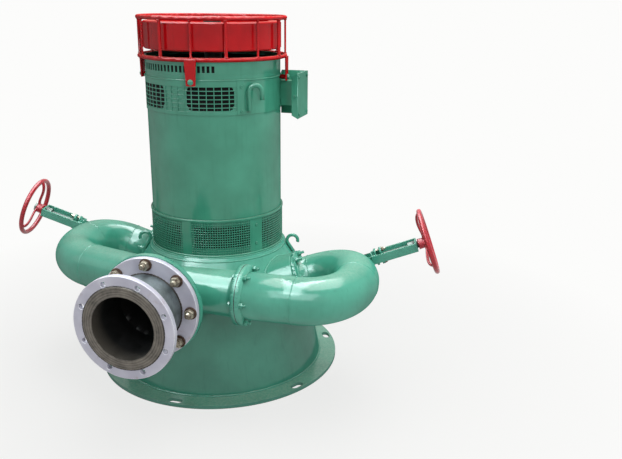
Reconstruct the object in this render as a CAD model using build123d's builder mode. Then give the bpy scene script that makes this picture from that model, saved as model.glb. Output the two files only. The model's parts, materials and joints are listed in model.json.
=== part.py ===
"""Vertical hydroelectric set: twin inclined-jet turbine, generator, flywheel and hand valves.

Units are millimetres and +Z is up. The origin is the middle of the base flange's underside, on the
floor. The inlet faces -Y, the right arm leaves towards +X and the left arm towards -X.
"""
import os
from math import acos, atan2, cos, degrees, radians, sin, tan

from build123d import *

os.makedirs("parts", exist_ok=True)

# Fits
seat_gap = 0.3          # between curved faces that seat on each other
running_gap = 0.05      # a shaft or spindle in its bearing

# Base and casing
base_radius = 447.0
base_thickness = 12.0
base_opening_radius = 350.0
foundation_radius = 426.0
foundation_count = 6
slot_length = 50.0
slot_width = 26.0
skirt_foot_radius = 384.0
waist_radius = 317.0
waist_height = 350.0
neck_margin = 16.0              # the cone's top edge, outside the frame's wall
neck_height = 453.0
casing_wall = 6.0
top_plate_thickness = 12.0
shaft_hole_radius = 62.0

# Jets: both axes touch one circle about the shaft, slope down inwards and mirror each other
jet_circle = 132.0
jet_height = 241.0
jet_incline = 20.0
jet_yaw = 10.0
housing_radius = 104.0
housing_wall = 8.0
housing_inner_end = 170.0
right_housing_face = 344.0      # along the jet axis, where its arm's flange meets it
left_housing_face = 325.0
joint_flange_thickness = 16.0
joint_chamfer = 2.0
nozzle_tip = 96.0
orifice_radius = 20.0
nozzle_wall = 7.0

# Manifold
run_offset = 395.0
run_height = 416.0
arm_radius = 76.0
arm_wall = 5.0
branch_radius = 70.0
branch_length = 246.0           # to the middle of the right run's flange pair
run_flange_radius = 98.0
run_flange_thickness = 14.0
right_rear_corner = 586.0       # along the jet axis
right_front_corner = 580.0      # in X
left_rear_corner = 514.0
left_front_corner_x = -527.0
left_front_corner_y = -245.0
elbow_spacer = 6.0
right_rear_share = 0.54
left_rear_share = 0.37

# Inlet
inlet_flange_radius = 160.0
inlet_flange_thickness = 18.0
inlet_bolt_circle = 280.0
inlet_bolt_count = 8
inlet_hole_radius = 9.0
joint_hole_radius = 8.5         # close on the bolts that stay in
stub_radius = 109.5
stub_wall = 6.0
stub_length = 175.0             # face to face
face_ring_radius = 129.0
face_ring_bore = 98.5
face_ring_height = 3.5
tee_flange_radius = 163.5
tee_face = 555.0                # from the shaft axis to the tee's flange face
tee_neck_radius = 69.0          # where the neck ends, at the run's axis

# Needle spindle, gland and yoke, as distances along the jet axis
spindle_radius = 8.0
needle_radius = 23.0
needle_tip = 106.0
needle_length = 62.0
boss_radius = 20.0
boss_end = 634.0
boss_flange_thickness = 7.0
gland_gap = 12.0                # between the boss and the gland's plate
gland_plate_thickness = 8.0
gland_plate_length = 62.0
gland_plate_width = 30.0
gland_neck_radius = 13.0
gland_neck_reach = 26.0         # into the boss
packing_depth = 4.0
yoke_start = 616.0
yoke_end = 778.0
yoke_width = 66.0
yoke_height = 30.0
yoke_plate = 6.0
nut_radius = 11.5
nut_collar_radius = 16.0
nut_collar_length = 24.0
spindle_end = 804.0
hub_start = 783.0
hub_length = 26.0
hub_radius = 19.0
wheel_plane = 818.0
wheel_radius = 109.0
rim_radius = 8.5
spoke_count = 3
spoke_width = 17.0
spoke_thickness = 9.0

# Generator
frame_radius = 234.0
frame_wall = 6.0
frame_height = 618.0
band_height = 135.0
band_sheet = 2.0
band_standoff = 5.0             # its outside, from the frame's wall
band_rim_standoff = 7.0
band_rim_height = 8.0
lower_window_rise = 17.0        # above the frame's foot
lower_window_height = 98.0
lower_window_count = 6
lower_window_angle = 48.0
lower_window_first = -64.3
upper_band_height = 128.0       # down from the frame's top
upper_band_sheet = 2.0
upper_ridge_height = 5.0
upper_ridge_standoff = 4.5
upper_window_rise = 11.0        # above the band's foot
upper_window_angles = [-131.7, -71.7, 48.3, 108.3, 168.3]
upper_window_columns = 7
upper_window_rows = 6
grille_hole_width = 17.0
grille_hole_height = 9.5
grille_pitch_width = 23.0
grille_pitch_height = 13.4
grille_corner = 12.0
top_cover_height = 53.0
cover_wall = 3.0
cover_slot_count = 16
cover_slot_first = -137.0
cover_slot_pitch = 4.1
cover_slot_width = 9.0
cover_slot_rise = 14.0          # above the frame's top
cover_slot_height = 15.0
shield_thickness = 14.0
shield_vent_count = 8
shield_vent_radius = 32.0
shield_vent_circle = 160.0
shield_drop = 4.0               # lower shield, below the lower band's top edge
bearing_radius = 58.0
bearing_height = 46.0
core_bore = 146.0
winding_height = 66.0
winding_headroom = 16.0         # under the upper bearing
winding_gap = 12.0              # above the lower shield, and inside the frame
winding_inner = 158.0

# Terminal box
duct_middle = 58.0              # in Y
duct_width = 44.0
box_rise = 9.0                  # above the upper band's foot
box_height = 85.0
box_wall = 3.0
box_reach = 86.0                # from the frame's wall to its cover's outer face
cover_sheet = 2.5
cover_middle_y = 20.0
cover_width = 126.0
cover_drop = 25.0               # below the upper band's foot
cover_height = 152.0
cover_flap = 22.0
cover_flap_clip = 11.0

# Turning group
shaft_radius = 30.0
shaft_tip = 19.0                # below the runner
shaft_end = 14.5                # above the flywheel
air_gap = 5.0
runner_radius = 168.0
runner_drop = 14.0              # its top, below where the jets pass the shaft
runner_depth = 58.0
runner_hub_radius = 96.0
blade_count = 18
blade_thickness = 3.5
flywheel_clearance = 14.0       # to the middle of the guard's rods
flywheel_rise = 21.5            # above the top cover
flywheel_height = 90.0
flywheel_rim = 42.0
flywheel_web = 22.0
flywheel_hub_radius = 66.0
flywheel_hub_height = 72.0
flywheel_chamfer = 4.0

# Guard and hooks
cage_standoff = 17.0            # middle of its rods, from the frame's wall
cage_rod = 7.0
cage_rod_sides = 12
cage_thick_bar = 5.5
cage_thin_bar = 3.5
cage_drop = 3.0                 # its lower ring, below the top cover's edge
cage_height = 127.0
cage_bar_count = 14
guard_angle = -84.0
strap_top_width = 39.0
strap_bottom_width = 30.0
strap_thickness = 5.0
strap_length = 81.0
strap_stud_rise = 12.0          # above the strap's foot
strap_stud_radius = 7.0
strap_count = 4
hook_rod = 7.5
hook_bend = 21.0
hook_angle = -40.0
hook_rise = 12.0                # above the upper band's foot
hook_stem = 63.0
hook_tip = 27.0
hook_lean = 30.0
casing_hook_rod = 6.0
casing_hook_bend = 20.0
casing_hook_angle = 13.0
casing_hook_foot = 414.0
casing_hook_stem = 40.0
casing_hook_turn = 230.0

# Worked out from the driving dimensions
neck_radius = frame_radius + neck_margin
casing_top = neck_height + top_plate_thickness
shoulder_slope = (waist_radius - neck_radius) / (neck_height - waist_height)
stub_face = tee_face + stub_length
arm_bore = arm_radius - arm_wall
frame_inside = frame_radius - frame_wall
frame_top = casing_top + frame_height
upper_band_bottom = frame_top - upper_band_height
upper_window_bottom = upper_band_bottom + upper_window_rise
cover_top = frame_top + top_cover_height
lower_shield_height = casing_top + band_height - shield_drop
core_bottom = lower_shield_height + shield_thickness + winding_gap + winding_height
core_top = frame_top - bearing_height / 2 - winding_headroom - winding_height
core_height = core_top - core_bottom
rotor_radius = core_bore - air_gap
runner_top = jet_height - runner_drop
cage_radius = frame_radius + cage_standoff
cage_bottom = cover_top - cage_drop
cage_top = cage_bottom + cage_height
strap_bottom = cage_bottom - strap_length
flywheel_radius = cage_radius - flywheel_clearance
flywheel_bottom = cover_top + flywheel_rise
shaft_bottom = runner_top - runner_depth - shaft_tip
shaft_top = flywheel_bottom + flywheel_height + shaft_end
housing_faces = {"right": right_housing_face, "left": left_housing_face}
SIDES = {"right": 1, "left": -1}


def save(part, name):
    """Labels one finished piece and writes it as its own STEP file."""
    part.label = name
    export_step(part, f"parts/{name}.step")


def jet_direction(sign):
    """The way out along a jet axis, from the runner towards the handwheel."""
    flat = cos(radians(jet_incline))
    yaw = radians(jet_yaw)
    return Vector(sign * flat * cos(yaw), sign * flat * sin(yaw), sin(radians(jet_incline)))


def jet_point(sign, distance):
    """A point on a jet axis, counted from where the axis passes nearest to the shaft."""
    yaw = radians(jet_yaw)
    nearest = Vector(sign * jet_circle * sin(yaw), -sign * jet_circle * cos(yaw), jet_height)
    return nearest + jet_direction(sign) * distance


def jet_plane(sign, distance):
    """A plane square to a jet axis, with its own X level and its Z pointing outwards."""
    yaw = radians(jet_yaw)
    level = (-sign * sin(yaw), sign * cos(yaw), 0)
    return Plane(origin=jet_point(sign, distance), x_dir=level, z_dir=jet_direction(sign))


def radial_plane(angle):
    """An upright plane through the shaft: its X points outwards and its Y up."""
    out = Vector(cos(radians(angle)), sin(radians(angle)), 0)
    return Plane(origin=(0, 0, 0), x_dir=out, z_dir=out.cross(Vector(0, 0, 1)))


def outward_plane(angle, radius, height):
    """A plane that faces outwards at one angle: its X runs level and its Y up."""
    out = Vector(cos(radians(angle)), sin(radians(angle)), 0)
    return Plane(origin=out * radius + Vector(0, 0, height), x_dir=Vector(0, 0, 1).cross(out), z_dir=out)


def shoulder_radius(height):
    return waist_radius - (height - waist_height) * shoulder_slope


# Base flange: a flat ring with slots for the foundation bolts
with BuildPart() as base_flange:
    with BuildSketch():
        Circle(base_radius)
        Circle(base_opening_radius, mode=Mode.SUBTRACT)
        with PolarLocations(foundation_radius, foundation_count, start_angle=-90):
            SlotOverall(slot_length, slot_width, rotation=90, mode=Mode.SUBTRACT)
    extrude(amount=base_thickness)
save(base_flange.part, "base_flange")


# The round holes that the two nozzle housings are welded into
with BuildPart() as jet_holes:
    for sign in SIDES.values():
        with BuildSketch(jet_plane(sign, housing_inner_end)):
            Circle(housing_radius + seat_gap)
        extrude(amount=3 * housing_radius)


# Skirt: the steep cone that stands on the base flange
with BuildPart() as casing_skirt:
    with BuildSketch(Plane.XZ):
        with BuildLine():
            Polyline(
                (skirt_foot_radius, base_thickness),
                (waist_radius, waist_height),
                (waist_radius - casing_wall, waist_height),
                (skirt_foot_radius - casing_wall, base_thickness),
                close=True,
            )
        make_face()
    revolve(axis=Axis.Z)
    add(jet_holes.part, mode=Mode.SUBTRACT)
save(casing_skirt.part, "casing_skirt")

# Shoulder: the flatter cone from the waist to the neck
with BuildPart() as casing_shoulder:
    with BuildSketch(Plane.XZ):
        with BuildLine():
            Polyline(
                (waist_radius, waist_height),
                (neck_radius, neck_height),
                (neck_radius - 1.4 * casing_wall, neck_height),
                (waist_radius - casing_wall, waist_height),
                close=True,
            )
        make_face()
    revolve(axis=Axis.Z)
    add(jet_holes.part, mode=Mode.SUBTRACT)
save(casing_shoulder.part, "casing_shoulder")

# Top plate: closes the casing and carries the generator
with BuildPart() as casing_top_plate:
    with BuildSketch(Plane.XZ):
        with BuildLine():
            Polyline(
                (shaft_hole_radius, neck_height),
                (neck_radius, neck_height),
                (shoulder_radius(casing_top), casing_top),
                (shaft_hole_radius, casing_top),
                close=True,
            )
        make_face()
    revolve(axis=Axis.Z)
save(casing_top_plate.part, "casing_top_plate")

# Casing hooks: one bent rod on each side of the shoulder
with BuildPart() as casing_hooks:
    for angle in (casing_hook_angle, casing_hook_angle + 180):
        lean = atan2(waist_radius - neck_radius, neck_height - waist_height)
        off = casing_hook_rod + seat_gap
        foot_x, foot_y = shoulder_radius(casing_hook_foot) + off / cos(lean), casing_hook_foot
        start_x = foot_x - casing_hook_stem * sin(lean)
        start_y = foot_y + casing_hook_stem * cos(lean)
        with BuildLine(radial_plane(angle)) as casing_hook_path:
            Line((foot_x, foot_y), (start_x, start_y))
            CenterArc(
                (start_x + casing_hook_bend * cos(lean), start_y + casing_hook_bend * sin(lean)),
                casing_hook_bend, 180 + degrees(lean), -casing_hook_turn,
            )
        with BuildSketch(Plane(origin=casing_hook_path.line @ 0, z_dir=casing_hook_path.line % 0)):
            Circle(casing_hook_rod)
        sweep(path=casing_hook_path.line)
save(casing_hooks.part, "casing_hooks")

# Nozzle housings: a short drum through the casing wall, with a thick end ring for the arm's flange
for side, sign in SIDES.items():
    ring_foot = housing_faces[side] - joint_flange_thickness
    with BuildPart() as nozzle_housing:
        with BuildSketch(jet_plane(sign, ring_foot)):
            Circle(housing_radius)
            Circle(arm_bore, mode=Mode.SUBTRACT)
        extrude(amount=joint_flange_thickness)
        ring_edges = nozzle_housing.edges().filter_by(GeomType.CIRCLE).group_by(SortBy.RADIUS)[-1]
        outer_edge = ring_edges.sort_by_distance(jet_point(sign, 2 * housing_faces[side]))[0]
        chamfer(outer_edge, length=joint_chamfer)
        with BuildSketch(jet_plane(sign, housing_inner_end)):
            Circle(housing_radius)
            Circle(housing_radius - housing_wall, mode=Mode.SUBTRACT)
        extrude(amount=ring_foot - housing_inner_end)
    save(nozzle_housing.part, f"{side}_nozzle_housing")

# Nozzles: a cone from the drum's inner end down to the orifice
for side, sign in SIDES.items():
    seat = housing_radius - housing_wall - seat_gap
    with BuildPart() as nozzle:
        with BuildSketch(jet_plane(sign, housing_inner_end + joint_flange_thickness)):
            Circle(seat)
            Circle(seat - nozzle_wall, mode=Mode.SUBTRACT)
        extrude(amount=-joint_flange_thickness)
        with BuildSketch(jet_plane(sign, housing_inner_end)):
            Circle(seat)
        with BuildSketch(jet_plane(sign, nozzle_tip)):
            Circle(orifice_radius + nozzle_wall)
        loft()
        with BuildSketch(jet_plane(sign, housing_inner_end)):
            Circle(seat - nozzle_wall)
        with BuildSketch(jet_plane(sign, nozzle_tip)):
            Circle(orifice_radius)
        loft(mode=Mode.SUBTRACT)
    save(nozzle.part, f"{side}_nozzle")


def corner_arc(before, corner, after, tangent):
    """The start, middle and end of the arc that rounds a corner, from its tangent length."""
    inwards = (before - corner).normalized()
    outwards = (after - corner).normalized()
    half_turn = acos(-inwards.dot(outwards)) / 2
    radius = tangent / tan(half_turn)
    start = corner + inwards * tangent
    end = corner + outwards * tangent
    bisector = (inwards + outwards).normalized()
    middle = corner + bisector * (radius / cos(half_turn) - radius)
    return start, middle, end


# The tee's three branches meet at one point under the run
tee_middle = Vector(0, -run_offset, run_height)
left_front_corner = Vector(left_front_corner_x, left_front_corner_y, run_height)
left_heading = (left_front_corner - tee_middle).normalized()
branch_ends = {
    "right": tee_middle + Vector(branch_length, 0, 0),
    "left": tee_middle + left_heading * (branch_length / 2),
}
front_corners = {"right": Vector(right_front_corner, -run_offset, run_height), "left": left_front_corner}
rear_corners = {"right": jet_point(1, right_rear_corner), "left": jet_point(-1, left_rear_corner)}
rear_shares = {"right": right_rear_share, "left": left_rear_share}

# Arms: a bent tube from the tee round to the nozzle housing, with its flanges
for side, sign in SIDES.items():
    joint = jet_point(sign, housing_faces[side])
    rear, front, branch = rear_corners[side], front_corners[side], branch_ends[side]
    reach = (rear - front).length - elbow_spacer
    rear_arc = corner_arc(joint, rear, front, reach * rear_shares[side])
    front_arc = corner_arc(rear, front, branch, reach * (1 - rear_shares[side]))
    with BuildPart() as arm:
        with BuildSketch(jet_plane(sign, housing_faces[side])):
            Circle(housing_radius)
            Circle(arm_radius - arm_wall / 2, mode=Mode.SUBTRACT)
        extrude(amount=joint_flange_thickness)
        flange_edges = arm.edges().filter_by(GeomType.CIRCLE).group_by(SortBy.RADIUS)[-1]
        chamfer(flange_edges, length=joint_chamfer)
        with BuildLine() as arm_path:
            Line(joint, rear_arc[0])
            ThreePointArc(*rear_arc)
            Line(rear_arc[2], front_arc[0])
            ThreePointArc(*front_arc)
            Line(front_arc[2], branch)
        with BuildSketch(jet_plane(sign, housing_faces[side])):
            Circle(arm_radius)
            Circle(arm_bore, mode=Mode.SUBTRACT)
        sweep(path=arm_path.line)
        if side == "right":
            with BuildSketch(Plane(origin=branch, z_dir=(1, 0, 0))):
                Circle(run_flange_radius)
                Circle(arm_radius - arm_wall / 2, mode=Mode.SUBTRACT)
            extrude(amount=run_flange_thickness)
        with BuildSketch(jet_plane(sign, housing_faces[side] + joint_flange_thickness)):
            Circle(spindle_radius + seat_gap)
        extrude(amount=boss_end, mode=Mode.SUBTRACT)
    save(arm.part, f"{side}_arm")

# Inlet tee: a neck from the inlet flange that splits into the two front runs
tee_inlet_plane = Plane(origin=(0, -tee_face, run_height), x_dir=(1, 0, 0), z_dir=(0, 1, 0))
neck_reach = tee_face - run_offset
with BuildPart() as tee_outside:
    with BuildSketch(tee_inlet_plane):
        Circle(stub_radius)
    with BuildSketch(tee_inlet_plane.offset(neck_reach)):
        Circle(tee_neck_radius)
    loft()
    for heading, length in ((Vector(1, 0, 0), branch_length), (left_heading, branch_length / 2)):
        with BuildSketch(Plane(origin=tee_middle, z_dir=heading)):
            Circle(branch_radius)
        with BuildSketch(Plane(origin=tee_middle + heading * length, z_dir=heading)):
            Circle(arm_radius)
        loft()
with BuildPart() as tee_inside:
    with BuildSketch(tee_inlet_plane):
        Circle(stub_radius - stub_wall)
    with BuildSketch(tee_inlet_plane.offset(neck_reach)):
        Circle(tee_neck_radius - stub_wall)
    loft()
    for heading, length in ((Vector(1, 0, 0), branch_length), (left_heading, branch_length / 2)):
        with BuildSketch(Plane(origin=tee_middle, z_dir=heading)):
            Circle(branch_radius - arm_wall)
        with BuildSketch(Plane(origin=tee_middle + heading * length, z_dir=heading)):
            Circle(arm_bore)
        loft()
with BuildPart() as inlet_tee:
    add(tee_outside.part)
    with BuildSketch(tee_inlet_plane):
        Circle(tee_flange_radius)
        with PolarLocations(inlet_bolt_circle / 2, inlet_bolt_count):
            Circle(joint_hole_radius, mode=Mode.SUBTRACT)
    extrude(amount=inlet_flange_thickness)
    with BuildSketch(Plane(origin=branch_ends["right"], z_dir=(-1, 0, 0))):
        Circle(run_flange_radius)
    extrude(amount=run_flange_thickness)
    add(tee_inside.part, mode=Mode.SUBTRACT)
save(inlet_tee.part, "inlet_tee")


def inlet_plane(distance):
    """A plane square to the inlet, that far from the shaft, with its Z along +Y."""
    return Plane(origin=(0, -distance, run_height), x_dir=(1, 0, 0), z_dir=(0, 1, 0))


# Stub pipe between its two flanges, a flange on each end, and a raised face ring on the outer one
with BuildPart() as stub_pipe:
    with BuildSketch(inlet_plane(stub_face)):
        Circle(stub_radius)
        Circle(stub_radius - stub_wall, mode=Mode.SUBTRACT)
    extrude(amount=stub_length)
save(stub_pipe.part, "stub_pipe")

stub_flanges = {
    "stub_outer_flange": (stub_face, 180 / inlet_bolt_count, inlet_hole_radius),
    "stub_inner_flange": (tee_face + inlet_flange_thickness, 0.0, joint_hole_radius),
}
for name, (distance, first_hole, hole_radius) in stub_flanges.items():
    with BuildPart() as stub_flange:
        with BuildSketch(inlet_plane(distance)):
            Circle(inlet_flange_radius)
            Circle(stub_radius + seat_gap, mode=Mode.SUBTRACT)
            with PolarLocations(inlet_bolt_circle / 2, inlet_bolt_count, start_angle=first_hole):
                Circle(hole_radius, mode=Mode.SUBTRACT)
        extrude(amount=inlet_flange_thickness)
        outer_edges = stub_flange.edges().filter_by(GeomType.CIRCLE).group_by(SortBy.RADIUS)[-1]
        chamfer(outer_edges, length=1.2)
    save(stub_flange.part, name)

with BuildPart() as stub_face_ring:
    with BuildSketch(inlet_plane(stub_face)):
        Circle(face_ring_radius)
        Circle(face_ring_bore, mode=Mode.SUBTRACT)
    extrude(amount=-face_ring_height)
    chamfer(stub_face_ring.edges().group_by(Axis.Y)[0].sort_by(SortBy.RADIUS)[-1], length=2.0)
save(stub_face_ring.part, "stub_face_ring")

# Spindle bosses: the tubes that stand out of the arms' rear bends, each with an oval flange on its end
for side, sign in SIDES.items():
    boss_start = boss_end - 2.2 * arm_radius
    with BuildPart() as boss_space:
        with BuildLine() as bend_line:
            joint = jet_point(sign, housing_faces[side])
            rear, front = rear_corners[side], front_corners[side]
            reach = (rear - front).length - elbow_spacer
            rear_arc = corner_arc(joint, rear, front, reach * rear_shares[side])
            Line(joint, rear_arc[0])
            ThreePointArc(*rear_arc)
            Line(rear_arc[2], front)
        with BuildSketch(jet_plane(sign, housing_faces[side])):
            Circle(arm_radius)
        sweep(path=bend_line.line)
    with BuildPart() as spindle_boss:
        with BuildSketch(jet_plane(sign, boss_start)):
            Circle(boss_radius)
        extrude(amount=boss_end - boss_start)
        with BuildSketch(jet_plane(sign, boss_end)):
            SlotOverall(gland_plate_length, gland_plate_width, rotation=90)
        extrude(amount=-boss_flange_thickness)
        add(boss_space.part, mode=Mode.SUBTRACT)
        with BuildSketch(jet_plane(sign, boss_start)):
            Circle(spindle_radius + seat_gap)
        extrude(amount=boss_end - boss_start, mode=Mode.SUBTRACT)
        with BuildSketch(jet_plane(sign, boss_end)):
            Circle(gland_neck_radius + seat_gap)
        extrude(amount=-gland_neck_reach - packing_depth, mode=Mode.SUBTRACT)
    save(spindle_boss.part, f"{side}_spindle_boss")

# Glands: an oval plate with a neck that presses the packing in the boss
gland_neck = gland_gap + gland_neck_reach
gland_plate_start = boss_end + gland_gap
for side, sign in SIDES.items():
    with BuildPart() as gland:
        with BuildSketch(jet_plane(sign, gland_plate_start)):
            SlotOverall(gland_plate_length, gland_plate_width, rotation=90)
        extrude(amount=gland_plate_thickness)
        with BuildSketch(jet_plane(sign, gland_plate_start)):
            Circle(gland_neck_radius)
        extrude(amount=-gland_neck)
        with BuildSketch(jet_plane(sign, gland_plate_start + gland_plate_thickness)):
            Circle(spindle_radius + running_gap)
        extrude(amount=-gland_plate_thickness - gland_neck, mode=Mode.SUBTRACT)
    save(gland.part, f"{side}_gland")

# Yokes: a frame of flat bar round the gland, welded to the boss, that carries the spindle nut
for side, sign in SIDES.items():
    with BuildPart() as yoke:
        with BuildSketch(jet_plane(sign, yoke_start)):
            Rectangle(yoke_width, yoke_height)
        extrude(amount=yoke_end - yoke_start)
        with BuildSketch(jet_plane(sign, yoke_start + yoke_plate)):
            Rectangle(yoke_width - 2 * yoke_plate, 2 * yoke_height)
        extrude(amount=yoke_end - yoke_start - 2 * yoke_plate, mode=Mode.SUBTRACT)
        with BuildSketch(jet_plane(sign, yoke_start)):
            Circle(boss_radius + seat_gap)
        extrude(amount=yoke_plate, mode=Mode.SUBTRACT)
        with BuildSketch(jet_plane(sign, yoke_end)):
            Circle(nut_radius + running_gap)
        extrude(amount=-yoke_plate, mode=Mode.SUBTRACT)
    save(yoke.part, f"{side}_yoke")

# Spindle nuts: a sleeve with a collar behind the yoke's end plate, keyed to the handwheel
collar_face = yoke_end - yoke_plate - seat_gap
for side, sign in SIDES.items():
    with BuildPart() as spindle_nut:
        with BuildSketch(jet_plane(sign, collar_face - nut_collar_length)):
            Circle(nut_collar_radius)
        extrude(amount=nut_collar_length)
        with BuildSketch(jet_plane(sign, collar_face)):
            Circle(nut_radius)
        extrude(amount=hub_start + hub_length - collar_face)
        with BuildSketch(jet_plane(sign, collar_face - nut_collar_length)):
            Circle(spindle_radius + running_gap)
        extrude(amount=2 * hub_start, mode=Mode.SUBTRACT)
    save(spindle_nut.part, f"{side}_spindle_nut")

# Spindles: a rod with the needle head on its inner end
for side, sign in SIDES.items():
    with BuildPart() as spindle:
        with BuildSketch(jet_plane(sign, needle_tip + needle_length / 2)):
            Circle(spindle_radius)
        extrude(amount=spindle_end - needle_tip - needle_length / 2)
        with BuildSketch(Plane(origin=jet_point(sign, needle_tip), x_dir=jet_plane(sign, 0).x_dir,
                               z_dir=jet_plane(sign, 0).x_dir.cross(jet_direction(sign)))):
            with BuildLine():
                tip_curve = Spline(
                    (0, 0), (needle_radius, 0.5 * needle_length), (spindle_radius, needle_length),
                    tangents=[(0.6, 1), (-0.6, 1)],
                )
                Polyline(tip_curve @ 1, (0, needle_length), (0, 0))
            make_face()
        revolve(axis=Axis(jet_point(sign, 0), jet_direction(sign)))
    save(spindle.part, f"{side}_spindle")

# Handwheels: a round rim, three bent spokes and a hub, with the rim standing clear of the hub
for side, sign in SIDES.items():
    with BuildPart() as handwheel:
        with BuildSketch(jet_plane(sign, hub_start)):
            Circle(hub_radius)
        extrude(amount=hub_length, taper=3)
        for k in range(spoke_count):
            turn = radians(90 + 360 * k / spoke_count)
            flat = jet_plane(sign, hub_start + hub_length / 2)
            out = flat.x_dir * cos(turn) + flat.y_dir * sin(turn)
            spoke_plane = Plane(origin=flat.origin, x_dir=out, z_dir=out.cross(jet_direction(sign)))
            rise = wheel_plane - hub_start - hub_length / 2
            with BuildLine(spoke_plane) as spoke_path:
                Spline((hub_radius / 2, 0), (0.62 * wheel_radius, 0.28 * rise), (wheel_radius, rise),
                       tangents=[(1, -0.1), (1, 0.5)])
            with BuildSketch(Plane(origin=spoke_path.line @ 0, x_dir=spoke_plane.z_dir,
                                   z_dir=spoke_path.line % 0)):
                Ellipse(spoke_width / 2, spoke_thickness / 2)
            sweep(path=spoke_path.line)
        rim_plane = Plane(origin=jet_point(sign, wheel_plane), x_dir=jet_plane(sign, 0).x_dir,
                          z_dir=jet_plane(sign, 0).y_dir)
        with BuildSketch(rim_plane):
            with Locations((wheel_radius, 0)):
                Circle(rim_radius)
        revolve(axis=Axis(jet_point(sign, 0), jet_direction(sign)))
        with BuildSketch(jet_plane(sign, hub_start)):
            Circle(nut_radius)
        extrude(amount=hub_length, mode=Mode.SUBTRACT)
    save(handwheel.part, f"{side}_handwheel")

# Generator frame: a rolled shell with one row of air windows at each end
with BuildPart() as generator_frame:
    with BuildSketch(Plane.XY.offset(casing_top)):
        Circle(frame_radius)
        Circle(frame_inside, mode=Mode.SUBTRACT)
    extrude(amount=frame_top - casing_top)
    window_width = 2 * frame_radius * sin(radians(lower_window_angle / 2))
    window_middle = casing_top + lower_window_rise + lower_window_height / 2
    for k in range(lower_window_count):
        angle = lower_window_first + 360 * k / lower_window_count
        with BuildSketch(outward_plane(angle, frame_radius / 2, window_middle)):
            RectangleRounded(window_width, lower_window_height, 8)
        extrude(amount=frame_radius, mode=Mode.SUBTRACT)
    grille_width = upper_window_columns * grille_pitch_width
    grille_height = upper_window_rows * grille_pitch_height
    for angle in upper_window_angles:
        with BuildSketch(outward_plane(angle, frame_radius / 2, upper_window_bottom + grille_height / 2)):
            RectangleRounded(grille_width, grille_height, 10)
        extrude(amount=frame_radius, mode=Mode.SUBTRACT)
save(generator_frame.part, "generator_frame")

# Lower vent band: a sheet round the lower windows with a rolled rim along each edge
with BuildPart() as lower_vent_band:
    band_top = casing_top + band_height
    rim_middle = frame_radius + (seat_gap + band_rim_standoff) / 2
    with BuildSketch(Plane.XZ):
        with Locations((frame_radius + band_standoff - band_sheet / 2, casing_top + band_height / 2)):
            Rectangle(band_sheet, band_height)
        for height in (casing_top + band_rim_height / 2, band_top - band_rim_height / 2):
            with Locations((rim_middle, height)):
                Rectangle(band_rim_standoff - seat_gap, band_rim_height)
    revolve(axis=Axis.Z)
save(lower_vent_band.part, "lower_vent_band")

# Upper vent band: a thin sheet pierced with rows of oblong holes, with a bead along its top edge
with BuildPart() as upper_vent_band:
    sheet_inside = frame_radius + seat_gap
    with BuildSketch(Plane.XY.offset(upper_band_bottom)):
        Circle(sheet_inside + upper_band_sheet)
        Circle(sheet_inside, mode=Mode.SUBTRACT)
    extrude(amount=upper_band_height)
    with BuildSketch(Plane.XY.offset(frame_top - upper_ridge_height)):
        Circle(frame_radius + upper_ridge_standoff)
        Circle(sheet_inside, mode=Mode.SUBTRACT)
    extrude(amount=upper_ridge_height)
    for angle in upper_window_angles:
        with BuildSketch(outward_plane(angle, frame_radius / 2, upper_window_bottom + grille_height / 2)):
            with GridLocations(grille_pitch_width, grille_pitch_height,
                               upper_window_columns, upper_window_rows):
                Rectangle(grille_hole_width, grille_hole_height)
            RectangleRounded(grille_width - grille_pitch_width + grille_hole_width,
                             grille_height - grille_pitch_height + grille_hole_height,
                             grille_corner, mode=Mode.INTERSECT)
        extrude(amount=frame_radius, mode=Mode.SUBTRACT)
save(upper_vent_band.part, "upper_vent_band")

# Top cover: the ring above the frame, with a row of upright slots on two sides
with BuildPart() as top_cover:
    with BuildSketch(Plane.XY.offset(frame_top)):
        Circle(frame_radius)
        Circle(frame_radius - cover_wall, mode=Mode.SUBTRACT)
    extrude(amount=top_cover_height)
    slot_middle = frame_top + cover_slot_rise + cover_slot_height / 2
    for k in range(cover_slot_count):
        angle = cover_slot_first + k * cover_slot_pitch
        with BuildSketch(outward_plane(angle, 0, slot_middle)):
            Rectangle(cover_slot_width, cover_slot_height)
        extrude(amount=2 * frame_radius, both=True, mode=Mode.SUBTRACT)
save(top_cover.part, "top_cover")

# End shields: a vented disc with a bearing housing in its middle
shields = {
    "upper_end_shield": (frame_top, frame_radius - cover_wall - seat_gap, -bearing_height / 2),
    "lower_end_shield": (lower_shield_height, frame_inside - seat_gap, -bearing_height / 2),
}
for name, (height, radius, drop) in shields.items():
    with BuildPart() as end_shield:
        with BuildSketch(Plane.XY.offset(height)):
            Circle(radius)
            with PolarLocations(shield_vent_circle, shield_vent_count):
                Circle(shield_vent_radius, mode=Mode.SUBTRACT)
        extrude(amount=shield_thickness)
        with BuildSketch(Plane.XY.offset(height + drop)):
            Circle(bearing_radius)
        extrude(amount=bearing_height)
        with BuildSketch(Plane.XY.offset(height + drop)):
            Circle(shaft_radius + running_gap)
        extrude(amount=bearing_height, mode=Mode.SUBTRACT)
    save(end_shield.part, name)

# Stator: the laminated core inside the frame, and the winding overhang above and below it
with BuildPart() as stator_core:
    with BuildSketch(Plane.XY.offset(core_bottom)):
        Circle(frame_inside - seat_gap)
        Circle(core_bore, mode=Mode.SUBTRACT)
    extrude(amount=core_height)
save(stator_core.part, "stator_core")

with BuildPart() as stator_windings:
    for bottom in (core_bottom - winding_height, core_top):
        with BuildSketch(Plane.XY.offset(bottom)):
            Circle(frame_inside - winding_gap)
            Circle(winding_inner, mode=Mode.SUBTRACT)
        extrude(amount=winding_height)
    fillet(stator_windings.edges().group_by(Axis.Z)[-1], radius=winding_height / 4)
    fillet(stator_windings.edges().group_by(Axis.Z)[0], radius=winding_height / 4)
save(stator_windings.part, "stator_windings")

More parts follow.
